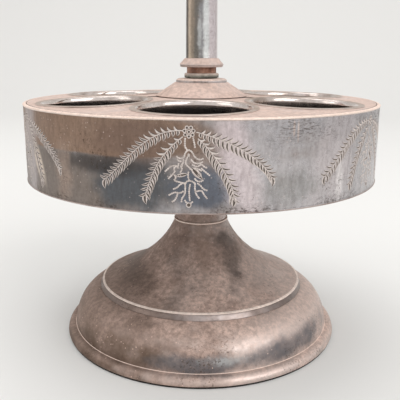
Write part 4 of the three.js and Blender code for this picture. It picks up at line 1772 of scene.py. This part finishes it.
@dataclass
class FernSpray:
    """One spray of four fern fronds, a cluster of buds and a hanging sprig."""

    fronds: tuple[Frond, ...] = (
        Frond(
            Sweep((-2.2, 120.0), (-16.8, 120.9), (-25.0, 106.8), (-35.6, 99.0)),
            hand=-1, curls=18, blades=20, lean=(-2.0, 9.0), reach=3.8,
        ),
        Frond(
            Sweep((2.9, 119.5), (14.1, 116.7), (28.3, 110.1), (33.0, 100.9)),
            hand=1, curls=18, blades=20, lean=(4.0, 22.0), reach=3.8,
        ),
        Frond(
            Sweep((-2.4, 117.7), (-11.8, 110.6), (-14.6, 103.4), (-17.6, 94.0)),
            hand=-1, curls=12, blades=15, lean=(4.0, 24.0), reach=3.9,
        ),
        Frond(
            Sweep((3.5, 117.0), (8.2, 113.6), (18.6, 98.6), (17.4, 93.4)),
            hand=1, curls=13, blades=15, lean=(-5.0, -16.0), reach=4.1,
        ),
    )
    bud_count: int = 7
    bud_ring: float = 1.75
    bud_middle: Pair = (0.0, 119.5)
    bud_radius: float = 0.85
    bud_hole: float = 0.45
    bead_spacing: float = 0.74
    bead_steps: int = 4
    bead_mean: float = 0.72
    bead_swell: float = 0.28
    twig_width: float = 1.05
    twig_pull: float = 6.0
    berry_hole: float = 0.6
    line_slant: float = 0.4
    punch_corners: int = 14
    punch_heights: tuple[float, ...] = (-0.7, 1.0, 0.7, 0.2)
    punch_rim: float = 0.9
    punch_floor: float = 0.8
    burr: float = 0.06

    TWIGS = (
        ((-1.4, 117.2), (-1.5, 115.4), (-1.4, 113.8), (-0.6, 112.5)),
        ((1.6, 117.4), (2.1, 115.2), (2.4, 113.4)),
        ((-2.0, 109.6), (-1.4, 111.4), (-0.5, 112.4), (0.5, 112.4), (1.4, 111.5), (2.2, 110.1), (3.4, 109.0)),
        ((-4.8, 110.2), (-3.9, 109.4), (-2.4, 109.5), (-1.5, 110.5)),
        ((0.3, 110.9), (-0.7, 109.3), (-1.2, 107.5), (-0.3, 106.2), (1.4, 104.6)),
        ((-2.1, 109.2), (-2.2, 107.7), (-2.9, 106.4), (-2.7, 104.9), (-3.4, 103.6)),
        ((2.9, 109.3), (4.4, 108.9), (5.6, 109.4)),
        ((0.8, 109.0), (2.1, 107.6), (3.9, 107.4), (5.4, 108.0)),
        ((1.2, 107.0), (3.2, 106.2), (4.8, 107.0), (6.2, 105.9), (7.1, 105.7)),
        ((4.7, 105.6), (6.2, 104.2), (8.2, 102.6)),
        ((2.0, 105.6), (3.7, 105.2), (5.0, 104.4)),
        ((-4.6, 108.9), (-3.6, 108.2), (-2.8, 108.2)),
        ((-3.9, 107.4), (-4.1, 106.2), (-4.2, 105.2)),
        ((-9.4, 103.9), (-7.2, 105.9), (-5.1, 106.4), (-4.2, 105.5)),
        ((-5.0, 106.2), (-5.8, 105.1), (-5.6, 103.8), (-8.1, 101.1)),
        ((-0.1, 104.2), (-0.3, 102.4), (0.1, 100.6)),
        (
            (-5.6, 102.9), (-5.1, 101.6), (-5.6, 100.6), (-3.5, 99.9),
            (-1.5, 99.6), (-0.6, 100.4), (1.0, 100.4), (2.6, 99.4),
        ),
        ((2.2, 101.6), (3.0, 100.6), (4.4, 100.3), (5.6, 100.9)),
        ((-1.8, 99.6), (-3.5, 98.9), (-4.4, 97.9), (-6.2, 97.0)),
        ((-1.5, 99.4), (-1.4, 97.2), (-1.6, 95.2), (-2.7, 93.4), (-2.9, 91.9)),
        ((-2.0, 96.4), (-3.5, 95.6), (-5.7, 95.7), (-8.0, 94.5)),
        ((-4.4, 95.4), (-4.8, 94.0), (-5.6, 92.6), (-6.8, 91.9)),
        ((0.5, 99.3), (0.1, 96.6), (0.2, 94.4), (0.4, 92.4)),
        ((2.4, 99.3), (2.4, 97.1), (2.9, 95.2), (4.1, 93.5)),
        ((2.9, 96.4), (4.9, 96.6), (6.0, 94.9), (7.2, 93.4)),
        ((3.2, 99.7), (4.4, 98.8), (5.6, 97.4), (7.2, 96.7)),
        ((-1.7, 92.9), (-0.9, 91.7)),
        ((1.6, 92.2), (0.7, 91.5)),
    )
    LEAVES = (
        ((1.0, 105.6), 43.0, 6.6, 2.7),
        ((-0.6, 103.2), -78.0, 5.2, 1.7),
        ((-0.1, 111.4), 0.0, 2.6, 1.0),
        ((-2.5, 107.4), -20.0, 2.6, 1.0),
    )
    BERRIES = (((-0.1, 90.8), 1.15), ((4.1, 103.0), 0.8), ((-3.6, 102.4), 0.6))

    def twig(self, *places: Pair) -> Stroke:
        """Cuts one beaded twig through some points.

        Args:
            places: The points, first to last.

        Returns:
            The stroke, thick at each bead.
        """
        line, widths = [], []
        for index in range(len(places) - 1):
            start, end = Vector(places[index]), Vector(places[index + 1])
            before = Vector(places[index - 1]) if index else start
            after = Vector(places[min(index + 2, len(places) - 1)])
            pull, push = start + (end - before) / self.twig_pull, end - (after - start) / self.twig_pull
            sweep = Sweep(tuple(start), tuple(pull), tuple(push), tuple(end))
            steps = self.bead_steps * max(1, round((end - start).length / self.bead_spacing))
            for step in range(steps + (index == len(places) - 2)):
                line.append(sweep.at(step / steps))
                beat = math.cos(2 * math.pi * step / self.bead_steps)
                widths.append(self.twig_width * (self.bead_mean - self.bead_swell * beat))
        return Stroke(line, widths, Cut.BEADS)

    def buds(self) -> Iterable[Pair]:
        """Gives the middle of each bud in the cluster."""
        yield self.bud_middle
        yield from circle(self.bud_ring, self.bud_count, self.bud_middle)

    def strokes(self, chance: random.Random) -> Iterable[Stroke]:
        """Cuts every line stroke of the spray.

        Args:
            chance: Source of the hand's small unevenness.

        Yields:
            The strokes.
        """
        for frond in self.fronds:
            yield from frond.strokes(chance)
        for twig in self.TWIGS:
            yield self.twig(*twig)
        for foot, lean, length, width in self.LEAVES:
            yield leaf(foot, lean, length, width, 0.0)

    def wrap(self, across: float, height: float, proud: float, turn: float) -> Triple:
        """Lays a point of the unrolled wall on the drum.

        Args:
            across: Distance from the spray's middle.
            height: Height above the table.
            proud: Distance out from the wall.
            turn: Angle of the spray's middle round the drum.

        Returns:
            The point in space.
        """
        angle = turn + across / WALL.radius
        reach = WALL.radius + proud
        return reach * math.cos(angle), reach * math.sin(angle), height

    def cut(self, shape: Shape, stroke: Stroke, turn: float) -> None:
        """Adds one stroke to a shape: raised edges in a pale painted highlight and a trough dark with grime
        and painted shadow.

        Args:
            shape: The shape that grows.
            stroke: The stroke.
            turn: Angle of the spray's middle round the drum.
        """
        sides, profile = stroke.sides(), stroke.cut.value
        # A plain line's dark side is turned to face upwards, as a painted shadow.
        facing = sum(y - self.line_slant * x for x, y in sides) > 0
        hand = 1 if stroke.cut is not Cut.LINE or facing else -1
        rings = []
        for (x, y), (side_x, side_y), width in zip(stroke.line, sides, stroke.widths):
            half = hand * width / 2
            ring = [
                self.wrap(x + side_x * share * half, y + side_y * share * half, height * self.burr, turn)
                for share, height, _ in profile
            ]
            rings.append(ring)
        shape.loft(rings, False, [coat for _, _, coat in profile])

    def punch(self, shape: Shape, middle: Pair, radius: float, hole: float, turn: float) -> None:
        """Adds one round punch mark: a raised rim in a pale painted highlight round a hollow dark with grime
        and painted shadow.

        Args:
            shape: The shape that grows.
            middle: Middle of the mark.
            radius: Radius of its rim.
            hole: Radius of its hollow.
            turn: Angle of the spray's middle round the drum.
        """
        radii = (radius, radius * self.punch_rim, hole, hole * self.punch_floor)
        rings = [
            [self.wrap(x, y, height * self.burr, turn) for x, y in circle(reach, self.punch_corners, middle)]
            for reach, height in zip(radii, self.punch_heights)
        ]
        dark = len(shape.faces) + 2 * self.punch_corners
        shape.loft(rings)
        for index in range(dark, len(shape.faces)):
            shape.coats[index] = 1

    def build(self, number: int, turn: float) -> None:
        """Builds the spray as one piece.

        Args:
            number: Number of the opening that it stands before.
            turn: Angle of its middle round the drum.
        """
        chance = random.Random(number)
        shape = Shape()
        for stroke in self.strokes(chance):
            self.cut(shape, stroke, turn)
        for bud in self.buds():
            self.punch(shape, bud, self.bud_radius, self.bud_hole, turn)
        for berry, radius in self.BERRIES:
            self.punch(shape, berry, radius, radius * self.berry_hole, turn)
        seat(shape.make(f"fern_spray_{number}", [CUT_HIGHLIGHT, CUT_GRIME_AND_SHADOW]), Body.CAROUSEL, Slot.DRUM)


@dataclass
class CentreStack:
    """Green washer, copper sleeve and bevelled collar above the drum."""

    bore: float = ROD_BORE
    washer_round: float = 0.7
    sleeve_edge: float = 0.15
    collar_edge: float = 1.3
    collar_bevel: float = 3.1
    collar_draft: float = 0.6
    collar_round: float = 0.22
    collar_top_radius: float = 8.7
    spigot_radius: float = 6.8

    def collar(self) -> None:
        """Builds the collar, with the spigot that holds the tube upright."""
        reach = Extent.of("post_collar")
        shoulder = reach.base + self.collar_edge + self.collar_bevel
        section = [
            (self.bore, reach.base),
            (reach.radius - self.collar_draft, reach.base),
            (reach.radius, reach.base + self.collar_edge),
            (self.collar_top_radius, shoulder),
            (self.spigot_radius, shoulder),
            (self.spigot_radius, reach.top),
            (self.bore, reach.top),
        ]
        edge = self.collar_round
        turned("bevelled_collar", "post_collar", Body.STAND, Slot.DUSTY, section, edge, [DUSTY_SILVER])

    def build(self) -> None:
        """Builds the three pieces."""
        for name, node, slot, edge, finish in (
            ("corroded_washer", "friction_washer", Slot.WASHER, self.washer_round, GREEN_WASHER),
            ("copper_sleeve", "copper_neck", Slot.COPPER, self.sleeve_edge, COPPER),
        ):
            turned(name, node, Body.STAND, slot, self.bore, edge, [finish])
        self.collar()


@dataclass
class Post:
    """Tall plain tube and the turned piece that closes it."""

    top_radius: float = 7.2
    wall: float = 1.0
    spigot_radius: float = 5.9
    shoulder: float = 0.6
    straight: float = 1.4
    bead: float = 1.8
    bead_start: float = -60.0
    boss_radius: float = HANDLE_BOSS
    bore: float = ROD_BORE
    tube_edge: float = 0.12
    cap_edge: float = 0.15
    tube_steps: int = 24
    bead_steps: int = 14

    def tall_tube(self) -> None:
        """Builds the tapering tube."""
        reach = Extent.of("post_tube")
        shares = [step / self.tube_steps for step in range(self.tube_steps + 1)]
        taper, rise = self.top_radius - reach.radius, reach.top - reach.base
        section = [
            (reach.radius - self.wall, reach.base),
            *((reach.radius + taper * share, reach.base + rise * share) for share in shares),
            (self.top_radius - self.wall, reach.top),
        ]
        turned("tall_tube", "post_tube", Body.STAND, Slot.POST, section, self.tube_edge, [POST_SILVER])

    def tube_cap(self) -> None:
        """Builds the bevelled piece with a rounded edge that closes the tube."""
        reach = Extent.of("handle_ferrule")
        tube_top, neck = Extent.of("post_tube").top, self.top_radius + self.shoulder
        middle = (reach.radius - self.bead, reach.top - self.bead)
        section = [
            (self.bore, reach.base),
            (self.spigot_radius, reach.base),
            (self.spigot_radius, tube_top),
            (neck, tube_top),
            (neck, tube_top + self.straight),
            *arc(middle, self.bead, self.bead, self.bead_start, 90, self.bead_steps),
            (self.boss_radius, reach.top),
            (self.bore, reach.top),
        ]
        turned("tube_cap", "handle_ferrule", Body.STAND, Slot.POST, section, self.cap_edge, [HANDLE_SILVER])

    def build(self) -> None:
        """Builds both pieces of the post."""
        self.tall_tube()
        self.tube_cap()


@dataclass
class Handle:
    """Carrying loop with its threaded boss."""

    width: float = 70.0
    height: float = 92.0
    bar: float = 4.0
    taper: float = 0.12
    boss_radius: float = HANDLE_BOSS
    boss_height: float = 15.0
    boss_straight: float = 1.2
    boss_taper: float = 0.75
    boss_swell: tuple[Pair, Pair] = ((0.94, 0.3), (0.75, 0.6))
    boss_edge: float = 0.2
    boss_steps: int = 14
    bore: float = ROD_BORE
    bore_depth: float = 9.0
    core: float = 0.02
    steps: int = 128
    around: int = 24

    def ring(self, turn: float, middle: float) -> list[Triple]:
        """Gives the section of the loop's bar at one place.

        Args:
            turn: Angle of the place round the loop.
            middle: Height of the loop's middle.

        Returns:
            The points of the section.
        """
        points = []
        for corner in range(self.around):
            lean = 2 * math.pi * corner / self.around
            out = 1 + self.bar / (self.height / 2) * math.cos(lean)
            across, up = out * math.cos(turn), out * math.sin(turn)
            half = self.width / 2 * (1 + self.taper * up)
            points.append((across * half, -self.bar * math.sin(lean), middle + up * self.height / 2))
        return points

    def boss(self, reach: Extent) -> Section:
        """Gives the half section of the boss.

        Args:
            reach: Extent of the whole handle.

        Returns:
            The section.
        """
        top, bore_top = reach.base + self.boss_height, reach.base + self.bore_depth
        radius = self.boss_radius
        (low_in, low_up), (high_in, high_up) = self.boss_swell
        side = Sweep(
            (radius, reach.base + self.boss_straight),
            (radius * low_in, reach.base + low_up * self.boss_height),
            (radius * high_in, reach.base + high_up * self.boss_height),
            (radius * self.boss_taper, top),
        )
        return [
            (self.bore, reach.base),
            (radius, reach.base),
            *side.points(self.boss_steps),
            (self.core, top),
            (self.core, bore_top),
            (self.bore, bore_top),
        ]

    def build(self) -> None:
        """Builds the loop and its boss as one piece."""
        reach = Extent.of("handle_loop")
        middle = reach.base + self.boss_height - self.bar + self.height / 2
        turns = [2 * math.pi * step / self.steps for step in range(self.steps)]
        shape = Shape().loft([self.ring(turn, middle) for turn in turns], loop=True)
        shape.spin(soften(self.boss(reach), self.boss_edge), Facets.NARROW)
        seat(shape.make("carrying_loop", [HANDLE_SILVER]), Body.STAND, Slot.POST, "handle_loop")


@dataclass
class Spindle:
    """Rod through the whole stack, with the washer and nut that draw it together."""

    bore: float = ROD_BORE
    thread_pitch: float = 1.0
    thread_depth: float = 0.45
    thread_length: float = 12.0
    flats: float = 11.0
    chamfer_out: float = 0.1
    chamfer_lean: float = 30.0
    least_chamfer: float = 0.02
    washer_edge: float = 0.2
    steps_per_turn: int = 6

    def thread_ring(self, reach: Extent, height: float, cut: bool) -> list[Triple]:
        """Gives one ring of the rod.

        Args:
            reach: Extent of the rod.
            height: Height of the ring.
            cut: Whether the thread is cut there.

        Returns:
            The points of the ring.
        """
        ring, corners = [], Facets.NARROW.value
        for corner in range(corners):
            angle = 2 * math.pi * corner / corners
            phase = ((height - reach.base) / self.thread_pitch - angle / (2 * math.pi)) % 1
            groove = self.thread_depth * (1 - abs(2 * phase - 1)) if cut else 0.0
            radius = reach.radius - groove
            ring.append((radius * math.cos(angle), radius * math.sin(angle), height))
        return ring

    def rod(self) -> None:
        """Builds the rod, with a cut thread at its lower end."""
        reach = Extent.of("spindle")
        rows = int(self.thread_length / self.thread_pitch * self.steps_per_turn)
        heights = [reach.base + self.thread_length * row / rows for row in range(rows + 1)] + [reach.top]
        rings = [self.thread_ring(reach, height, row < rows) for row, height in enumerate(heights)]
        seat(Shape().loft(rings).make("threaded_rod", [STEEL]), Body.STAND, Slot.STEEL, "spindle")

    def nut(self) -> None:
        """Builds the hexagon nut with its chamfered corners."""
        reach = Extent.of("clamp_nut")
        half, side = self.flats / 2, math.pi / 3

        def section(angle: float) -> Section:
            """Gives the nut's section at an angle.

            Args:
                angle: Angle round the nut.

            Returns:
                The section.
            """
            turn = (angle + math.pi / 2) % side - side / 2
            flat = half / math.cos(turn)
            rim = min(flat, half + self.chamfer_out)
            drop = (flat - rim) * math.tan(math.radians(self.chamfer_lean)) + self.least_chamfer
            return [
                (self.bore, reach.base),
                (rim, reach.base),
                (flat, reach.base + drop),
                (flat, reach.top - drop),
                (rim, reach.top),
                (self.bore, reach.top),
            ]

        piece = Shape().spin(section, Facets.MIDDLE).make("hexagon_nut", [STEEL])
        seat(piece, Body.STAND, Slot.STEEL, "clamp_nut")

    def build(self) -> None:
        """Builds the rod, its washer and its nut."""
        self.rod()
        turned("rod_washer", "clamp_washer", Body.STAND, Slot.STEEL, self.bore, self.washer_edge, [STEEL])
        self.nut()


@dataclass(frozen=True)
class Lamp:
    """One soft box.

    Attributes:
        name: Its name.
        place: Where it stands, in metres.
        width: Its width, in metres.
        height: Its height, in metres.
        power: Its power, in watts.
        colour: Its colour.
    """

    name: str
    place: Triple
    width: float
    height: float
    power: float
    colour: Triple = (1.0, 1.0, 1.0)

    AIM = Vector((0.0, 0.0, 0.1))

    def light(self) -> None:
        """Adds the lamp to the scene."""
        data = bpy.data.lights.new(self.name, "AREA")
        data.shape, data.size, data.size_y = "RECTANGLE", self.width, self.height
        data.energy, data.color = self.power, self.colour
        lamp = bpy.data.objects.new(self.name, data)
        lamp.location = self.place
        lamp.rotation_euler = (self.AIM - Vector(self.place)).to_track_quat("-Z", "Y").to_euler()
        bpy.context.scene.collection.objects.link(lamp)


@dataclass
class Studio:
    """Pale floor that curves up into a backdrop, soft lamps and a dim room."""

    front: float = -2.5
    bend: float = 1.1
    bend_radius: float = 0.9
    bend_steps: int = 24
    top: float = 3.0
    half_width: float = 3.0
    drop: float = 0.1
    room: Triple = (0.62, 0.61, 0.60)
    room_strength: float = 1.3
    lamps: tuple[Lamp, ...] = (
        Lamp("key_box", (1.1, -1.1, 1.25), 1.6, 1.3, 15.0, (1.0, 0.985, 0.97)),
        Lamp("fill_box", (-1.5, -0.6, 1.1), 1.0, 1.0, 3.0, (1.0, 0.95, 0.9)),
        Lamp("top_box", (-0.3, 0.3, 1.6), 1.4, 1.2, 7.0),
    )

    def backdrop(self) -> None:
        """Builds the floor and the backdrop as one bent sheet."""
        bend = arc((self.bend, self.bend_radius), self.bend_radius, self.bend_radius, -90, 0, self.bend_steps)
        line = [(self.front, 0.0), *bend, (self.bend + self.bend_radius, self.top)]
        points = [(x, y, z - self.drop * MM) for x in (-self.half_width, self.half_width) for y, z in line]
        count = len(line)
        faces = [(n, n + count, n + count + 1, n + 1) for n in range(count - 1)]
        mesh = bpy.data.meshes.new("paper_sweep")
        mesh.from_pydata(points, [], faces)
        mesh.shade_smooth()
        mesh.materials.append(PlainPaper("paper_pale").material())
        sheet = bpy.data.objects.new("paper_sweep", mesh)
        bpy.context.scene.collection.objects.link(sheet)
        sheet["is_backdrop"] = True

    def build(self) -> None:
        """Sets up the floor, the lamps, the room's light and the plain view transform."""
        self.backdrop()
        for lamp in self.lamps:
            lamp.light()
        world = bpy.data.worlds.new("plain_room")
        bpy.context.scene.world = world
        world.use_nodes = True
        background = world.node_tree.nodes["Background"]
        background.inputs["Color"].default_value = (*self.room, 1.0)
        background.inputs["Strength"].default_value = self.room_strength
        bpy.context.scene.view_settings.view_transform = "Standard"


@dataclass
class Viewpoint:
    """The camera, placed as in the photograph.

    Attributes:
        distance: How far it stands from the post, along the table, in metres.
        height: Its height, in metres.
        around: How far it has gone round the stand from -Y, in degrees.
        pan: Turn to the right, in degrees.
        pitch: Downward tilt, in degrees.
        roll: Roll, in degrees.
        focal: Focal length as a share of the picture's width.
        sensor: Width of the sensor, in millimetres.
    """

    distance: float = 0.3132
    height: float = 0.1487
    around: float = 3.0
    pan: float = -0.10
    pitch: float = 14.03
    roll: float = 0.227
    focal: float = 590.1 / 400
    sensor: float = 36.0

    def build(self) -> None:
        """Adds the camera and makes it the scene's."""
        data = bpy.data.cameras.new("viewpoint")
        data.sensor_width, data.lens = self.sensor, self.focal * self.sensor
        camera = bpy.data.objects.new("viewpoint", data)
        pitch, pan = math.radians(self.pitch), math.radians(self.pan)
        forward = Vector((math.sin(pan) * math.cos(pitch), math.cos(pan) * math.cos(pitch), -math.sin(pitch)))
        right = forward.cross(Vector((0, 0, 1))).normalized()
        rolled = Matrix.Rotation(-math.radians(self.roll), 3, forward)
        right = rolled @ right
        up = right.cross(forward)
        turn = Matrix.Rotation(math.radians(self.around), 4, "Z")
        pose = Matrix((right, up, -forward)).transposed().to_4x4()
        pose.translation = Vector((0, -self.distance, self.height))
        camera.matrix_world = turn @ pose
        bpy.context.scene.collection.objects.link(camera)
        bpy.context.scene.camera = camera


def write_sizes() -> None:
    """Puts the frame's box and the finished model's box side by side; they are not written out."""
    boxes = {"frame": FRAME_BOX, "model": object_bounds()}
    plain = {name: [[float(value) for value in corner] for corner in box] for name, box in boxes.items()}


def main() -> None:
    """Builds the stand, the studio and the camera."""
    logging.basicConfig(level=logging.INFO, format="%(name)s: %(message)s")
    Viewpoint().build()
    Studio().build()
    plate = TopPlate()
    Foot().build()
    Neck().build()
    Drum().build(plate.wells)
    plate.build()
    for number, (x, y) in enumerate(plate.wells, start=1):
        FernSpray().build(number, math.atan2(y, x))
    CentreStack().build()
    Post().build()
    Handle().build()
    Spindle().build()
    write_sizes()
    LOG.info("the stand is dressed")


if __name__ == "__main__":
    main()
